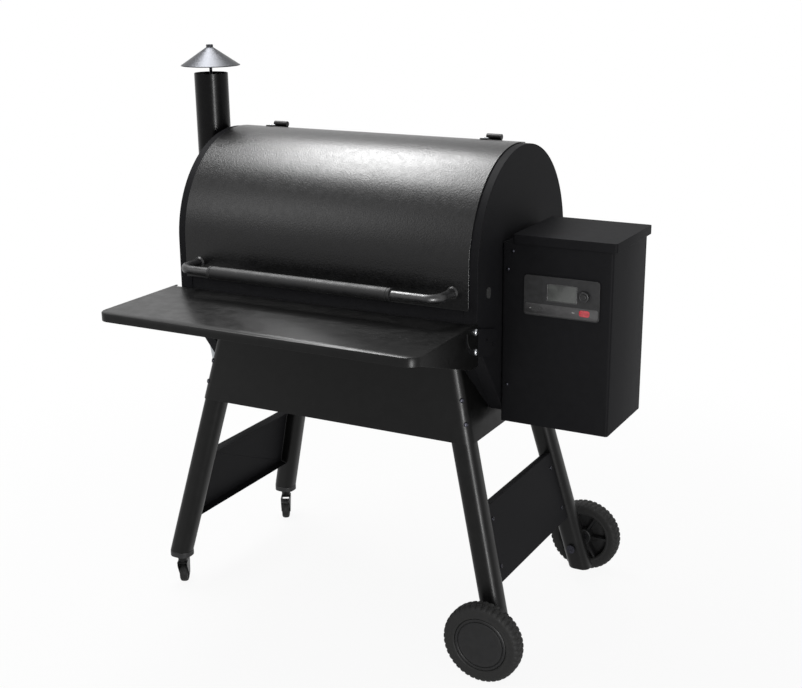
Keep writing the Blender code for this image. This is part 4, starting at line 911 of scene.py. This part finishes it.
@dataclass
class Caster:
    """One swivelling caster with its brake."""

    name: str
    end: int
    heading: float
    x: float = -0.4623
    y: float = 0.2519
    trail: float = 0.016
    radius: float = 0.0275

    def build(self) -> None:
        """Make the roller, and ease the fork, the pedal and the leg's plug."""
        turn = math.radians(self.heading)
        ahead = np.array((math.cos(turn), math.sin(turn), 0))
        axle = np.cross(Z, ahead)
        centre = np.array((self.x, self.end * self.y, self.radius)) + self.trail * ahead
        tread = mirrored(mm((17, 7.8), (18, 9.6), (20.5, 10), (23.8, 9.8), (25.8, 8.4), (27, 5.8), (27.5, 2.5)))
        roller = f"{self.name}_roller"
        put(f"caster_tread_{self.name}", turned(tread, centre, axle, 56, closed=True), TYRE, roller,
            f"caster_wheel_{self.name}", smooth=50)
        hub = mirrored(mm((3.4, 10), (7, 10), (7.8, 9.2), (8.4, 7), (15, 6.4), (16.9, 8)))
        put(f"caster_hub_{self.name}", turned(hub, centre, axle, 40, closed=True), WHEEL_PLASTIC, roller)
        soften(STAND_COAT, 0.0004, f"caster_fork_{self.name}")
        soften(ABS, 0.0004, f"caster_brake_{self.name}")
        soften(ABS, 0.0006, f"leg_plug_{self.name}")


@dataclass
class Stand:
    """Four leaning legs, the apron round their tops, two braces, wheels and casters."""

    high_z: float = 0.533
    high: Pair = (0.3516, 0.2045)
    slope: Pair = (0.1107 / 0.433, 0.0474 / 0.433)
    leg_section: Pair = (0.058, 0.052)
    apron_skin: float = 0.0026
    apron_corner: float = 0.0226
    bolt_rises: Pair = (0.046, 0.101)
    brace_out: float = 0.0147
    brace_in: float = 0.046
    brace_bolts_z: Pair = (0.225, 0.337)
    wheels: tuple[Wheel, ...] = (Wheel("front", -1), Wheel("rear", 1))
    casters: tuple[Caster, ...] = (Caster("front", -1, 118.0), Caster("rear", 1, -62.0))

    def apron_bolts(self) -> Iterable[Skin]:
        """Two bolts through each round corner of the apron into its leg, square to the leaning sheet."""
        inset = self.apron_corner * (1 - math.sqrt(0.5)) - self.apron_skin
        for end, side, rise in product((-1, 1), (-1, 1), self.bolt_rises):
            x, y = (at + wide / 2 - inset - slope * rise
                    for at, wide, slope in zip(self.high, self.leg_section, self.slope))
            yield screw((side * x, end * y, self.high_z + rise), unit((side, end, sum(self.slope))), Head.APRON)

    def brace_bolts(self) -> Iterable[Skin]:
        """Two bolts at each end of both braces, through their webs."""
        for side, end, z in product((-1, 1), (-1, 1), self.brace_bolts_z):
            x, y = (at + slope * (self.high_z - z) for at, slope in zip(self.high, self.slope))
            place = (side * (x + self.brace_out), end * (y - self.brace_in), z)
            yield screw(place, unit((side, 0, self.slope[0])), Head.BRACE)

    def build(self) -> None:
        """Ease the legs and sheets, and make the wheels, casters and bolts."""
        for end in ("front", "rear"):
            soften(STAND_COAT, 0.0005, f"leg_{end}_left", f"leg_{end}_right")
            dress(BLACK_OXIDE, f"axle_{end}")
        soften(STAND_COAT, 0.001, "apron", smooth=50)
        soften(BODY_COAT, 0.0006, "brace_left", "brace_right")
        put("apron_bolts", self.apron_bolts(), BLACK_OXIDE, "base")
        put("brace_bolts", self.brace_bolts(), BLACK_OXIDE, "base")
        for part in (*self.wheels, *self.casters):
            part.build()


@dataclass
class Bucket:
    """The grease bucket on its bail, under the drain spout."""

    x: float = -0.475
    y: float = 0.035
    top: float = 0.643
    high: float = 0.12
    radius: float = 0.065
    taper: float = 0.78
    sheet: float = 0.0008
    wire: float = 0.0017
    beads: Pair = (0.03, 0.088)
    bead_high: float = 0.0009
    bead_wide: float = 0.0022

    def pail(self) -> Skin:
        """The pail: a tapered wall with two pressed beads and a wired rim, turned about z."""
        low = self.top - self.high
        z = np.linspace(low, self.top - 0.004, 40)
        wall = self.radius * (self.taper + (1 - self.taper) * (z - low) / self.high)
        bead = sum(self.bead_high * np.exp(-((z - low - place) / self.bead_wide) ** 2) for place in self.beads)
        outer = np.column_stack((wall + bead - 0.001, z))
        rim = arc((self.radius + 0.0002, self.top - self.wire), self.wire, -70, 150, 9)
        inner = outer[::-1] - (self.sheet, 0)
        inner[-1, 1] += self.sheet
        profile = np.concatenate((((0, low),), outer, rim, inner, ((0, low + self.sheet),)))
        return turned(profile, (self.x, self.y, 0), Z, 72)

    def build(self) -> None:
        """Make the pail and dress its bail and the spout."""
        put("pail", self.pail(), GALVANISED, "bucket", "grease_bucket", smooth=40)
        soften(ZINC_PLATE, 0.0, "bucket_bail")
        soften(BODY_COAT, 0.0004, "drain_spout")


@dataclass
class Firebox:
    """What works inside: grates, tray, baffle, fire pot, igniter and feed."""

    def build(self) -> None:
        """Dress the inner solids."""
        dress(ENAMEL, "grate_left", "grate_right")
        dress(HEATED_STEEL, "drip_tray", "heat_baffle", "fire_pot", "igniter_rod", "auger_tube", "auger_screw")


@dataclass
class Studio:
    """A white floor and backdrop, and soft lamps above and beside the grill."""

    floor_half: float = 9.0
    shadow_reach: float = 0.9
    shadow_fade: float = 2.5
    glow: float = 0.92
    ambient: float = 0.5

    def seen(self, tree: Tree) -> Socket:
        """1 for rays from the camera, a gloss or a clear body, and 0 for those that light the object."""
        path = add_node(tree, "LightPath").outputs
        share = path["Is Camera Ray"]
        for ray in ("Is Glossy Ray", "Is Transmission Ray"):
            share = add_node(tree, "Math", {0: share, 1: path[ray]}, operation="MAXIMUM").outputs[0]
        return share

    def floor(self) -> None:
        """A pale paper floor that shows white and keeps a light shadow."""
        side = np.linspace(-self.floor_half, self.floor_half, 3)
        x, y = np.meshgrid(side, side, indexing="ij")
        skin = grid_skin(np.stack((x, y, np.zeros_like(x)), axis=-1), wrap_cols=False, cap=Cap.OPEN)
        mesh = bpy.data.meshes.new("floor")
        mesh.from_pydata(skin.points.tolist(), [], [face[::-1] for face in skin.faces])
        paper = bpy.data.materials.new("white_paper")
        paper.use_nodes = True
        tree = paper.node_tree
        tree.nodes.clear()
        matt = add_node(tree, "BsdfDiffuse", {"Color": linear("#f2f2f2")})
        glow = add_node(tree, "Emission", {"Color": linear("#ffffff"), "Strength": 1.0})
        place = add_node(tree, "TexCoord").outputs["Object"]
        away = add_node(tree, "VectorMath", {0: place}, operation="LENGTH").outputs["Value"]
        fade = add_node(tree, "MapRange", {
            "Value": away, "From Min": self.shadow_reach, "From Max": self.shadow_fade * self.shadow_reach,
            "To Min": self.glow, "To Max": 1.0}, interpolation_type="SMOOTHSTEP")
        share = add_node(tree, "Math", {0: self.seen(tree), 1: fade}, operation="MULTIPLY")
        mix = add_node(tree, "MixShader", {0: share, 1: matt, 2: glow})
        add_node(tree, "OutputMaterial", {"Surface": mix})
        mesh.materials.append(paper)
        ground = in_scene("floor", mesh)

    def world(self) -> None:
        """White where it is seen, and a low even light elsewhere."""
        sky = bpy.data.worlds.new("white_backdrop")
        sky.use_nodes = True
        tree = sky.node_tree
        tree.nodes.clear()
        level = add_node(tree, "MapRange", {"Value": self.seen(tree), "To Min": self.ambient, "To Max": 1.0})
        light = add_node(tree, "Background", {"Color": (1, 1, 1, 1), "Strength": level})
        add_node(tree, "OutputWorld", {"Surface": light})
        bpy.context.scene.world = sky

    def lamp(self, name: str, place: Point, aim: Point, size: Pair, radiance: float, gleam_only: bool = False) -> None:
        """A soft box at a place, aimed at a point, with the brightness that its face shows.

        Args:
            name: of the lamp.
            place: the middle of its face.
            aim: the point that it faces.
            size: the width and height of its face.
            radiance: the brightness of its face, where 1 is white.
            gleam_only: shows it in gloss alone, so that the plain level of light stays as it is.
        """
        light = bpy.data.lights.new(name, "AREA")
        light.shape = "RECTANGLE"
        light.size, light.size_y = size
        light.energy = radiance * math.pi * size[0] * size[1]
        box = in_scene(name, light)
        box.location = place
        box.rotation_euler = (Vector(aim) - Vector(place)).to_track_quat("-Z", "Y").to_euler()
        box.visible_diffuse = not gleam_only

    def build(self) -> None:
        """Set the floor, the world and the lamps."""
        self.world()
        self.floor()
        self.lamp("overhead_box", (-0.98, 0.3, 2.9), (-0.98, 0.29, 0.0), (0.75, 1.7), 8.0)
        self.lamp("overhead_card", (-0.98, 0.35, 2.88), (-0.98, 0.34, 0.0), (0.75, 1.6), 23.0, gleam_only=True)
        self.lamp("left_box", (-1.6, -1.95, 2.15), (-0.3, -0.05, 1.0), (0.9, 1.1), 3.4)
        self.lamp("right_strip", (2.35, -1.25, 0.75), (-0.535, 0.1, 1.2), (0.4, 1.4), 2.5)
        self.lamp("right_card", (1.85, -1.95, 0.75), (0.3, -0.35, 0.55), (0.3, 1.3), 70.0, gleam_only=True)


@dataclass
class PhotoCamera:
    """The camera as the photo's perspective gives it."""

    azimuth: float = 27.967
    elevation: float = 18.0711
    roll: float = -0.0084192
    distance: float = 3.3051
    target: tuple[float, float, float] = (0.1171, 0.0, 0.5877)
    focal_px: float = 1307.5189
    width_px: int = 802
    height_px: int = 688
    centre_px: Pair = (415.884, 379.538)
    sensor_mm: float = 36.0

    def build(self) -> None:
        """Stand the camera on its sphere about the target and look at it, rolled and shifted."""
        turn, rise = math.radians(self.azimuth), math.radians(self.elevation)
        away = np.array((math.sin(turn) * math.cos(rise), -math.cos(turn) * math.cos(rise), math.sin(rise)))
        eye = np.array(self.target) + SHIFT + self.distance * away
        lens = bpy.data.cameras.new("photo_camera")
        lens.sensor_width = self.sensor_mm
        lens.lens = self.focal_px / self.width_px * self.sensor_mm
        lens.shift_x = (self.width_px / 2 - self.centre_px[0]) / self.width_px
        lens.shift_y = (self.centre_px[1] - self.height_px / 2) / self.width_px
        view = in_scene("photo_camera", lens)
        view.location = eye
        look = Vector(-away).to_track_quat("-Z", "Y") @ Quaternion((0, 0, 1), self.roll)
        view.rotation_euler = look.to_euler()
        bpy.context.scene.camera = view


def main() -> None:
    """Build every sub-assembly in order, then the studio."""
    logging.basicConfig(level=logging.INFO, format="%(message)s")
    bpy.context.scene.view_settings.view_transform = "Standard"
    PhotoCamera().build()
    barrel = Barrel()
    for part in (barrel, Lid(barrel), Chimney(), Hopper(), Shelf(), Stand(), Bucket(), Firebox(), Studio()):
        part.build()
        LOG.info("%s is built", type(part).__name__)


if __name__ == "__main__":
    main()
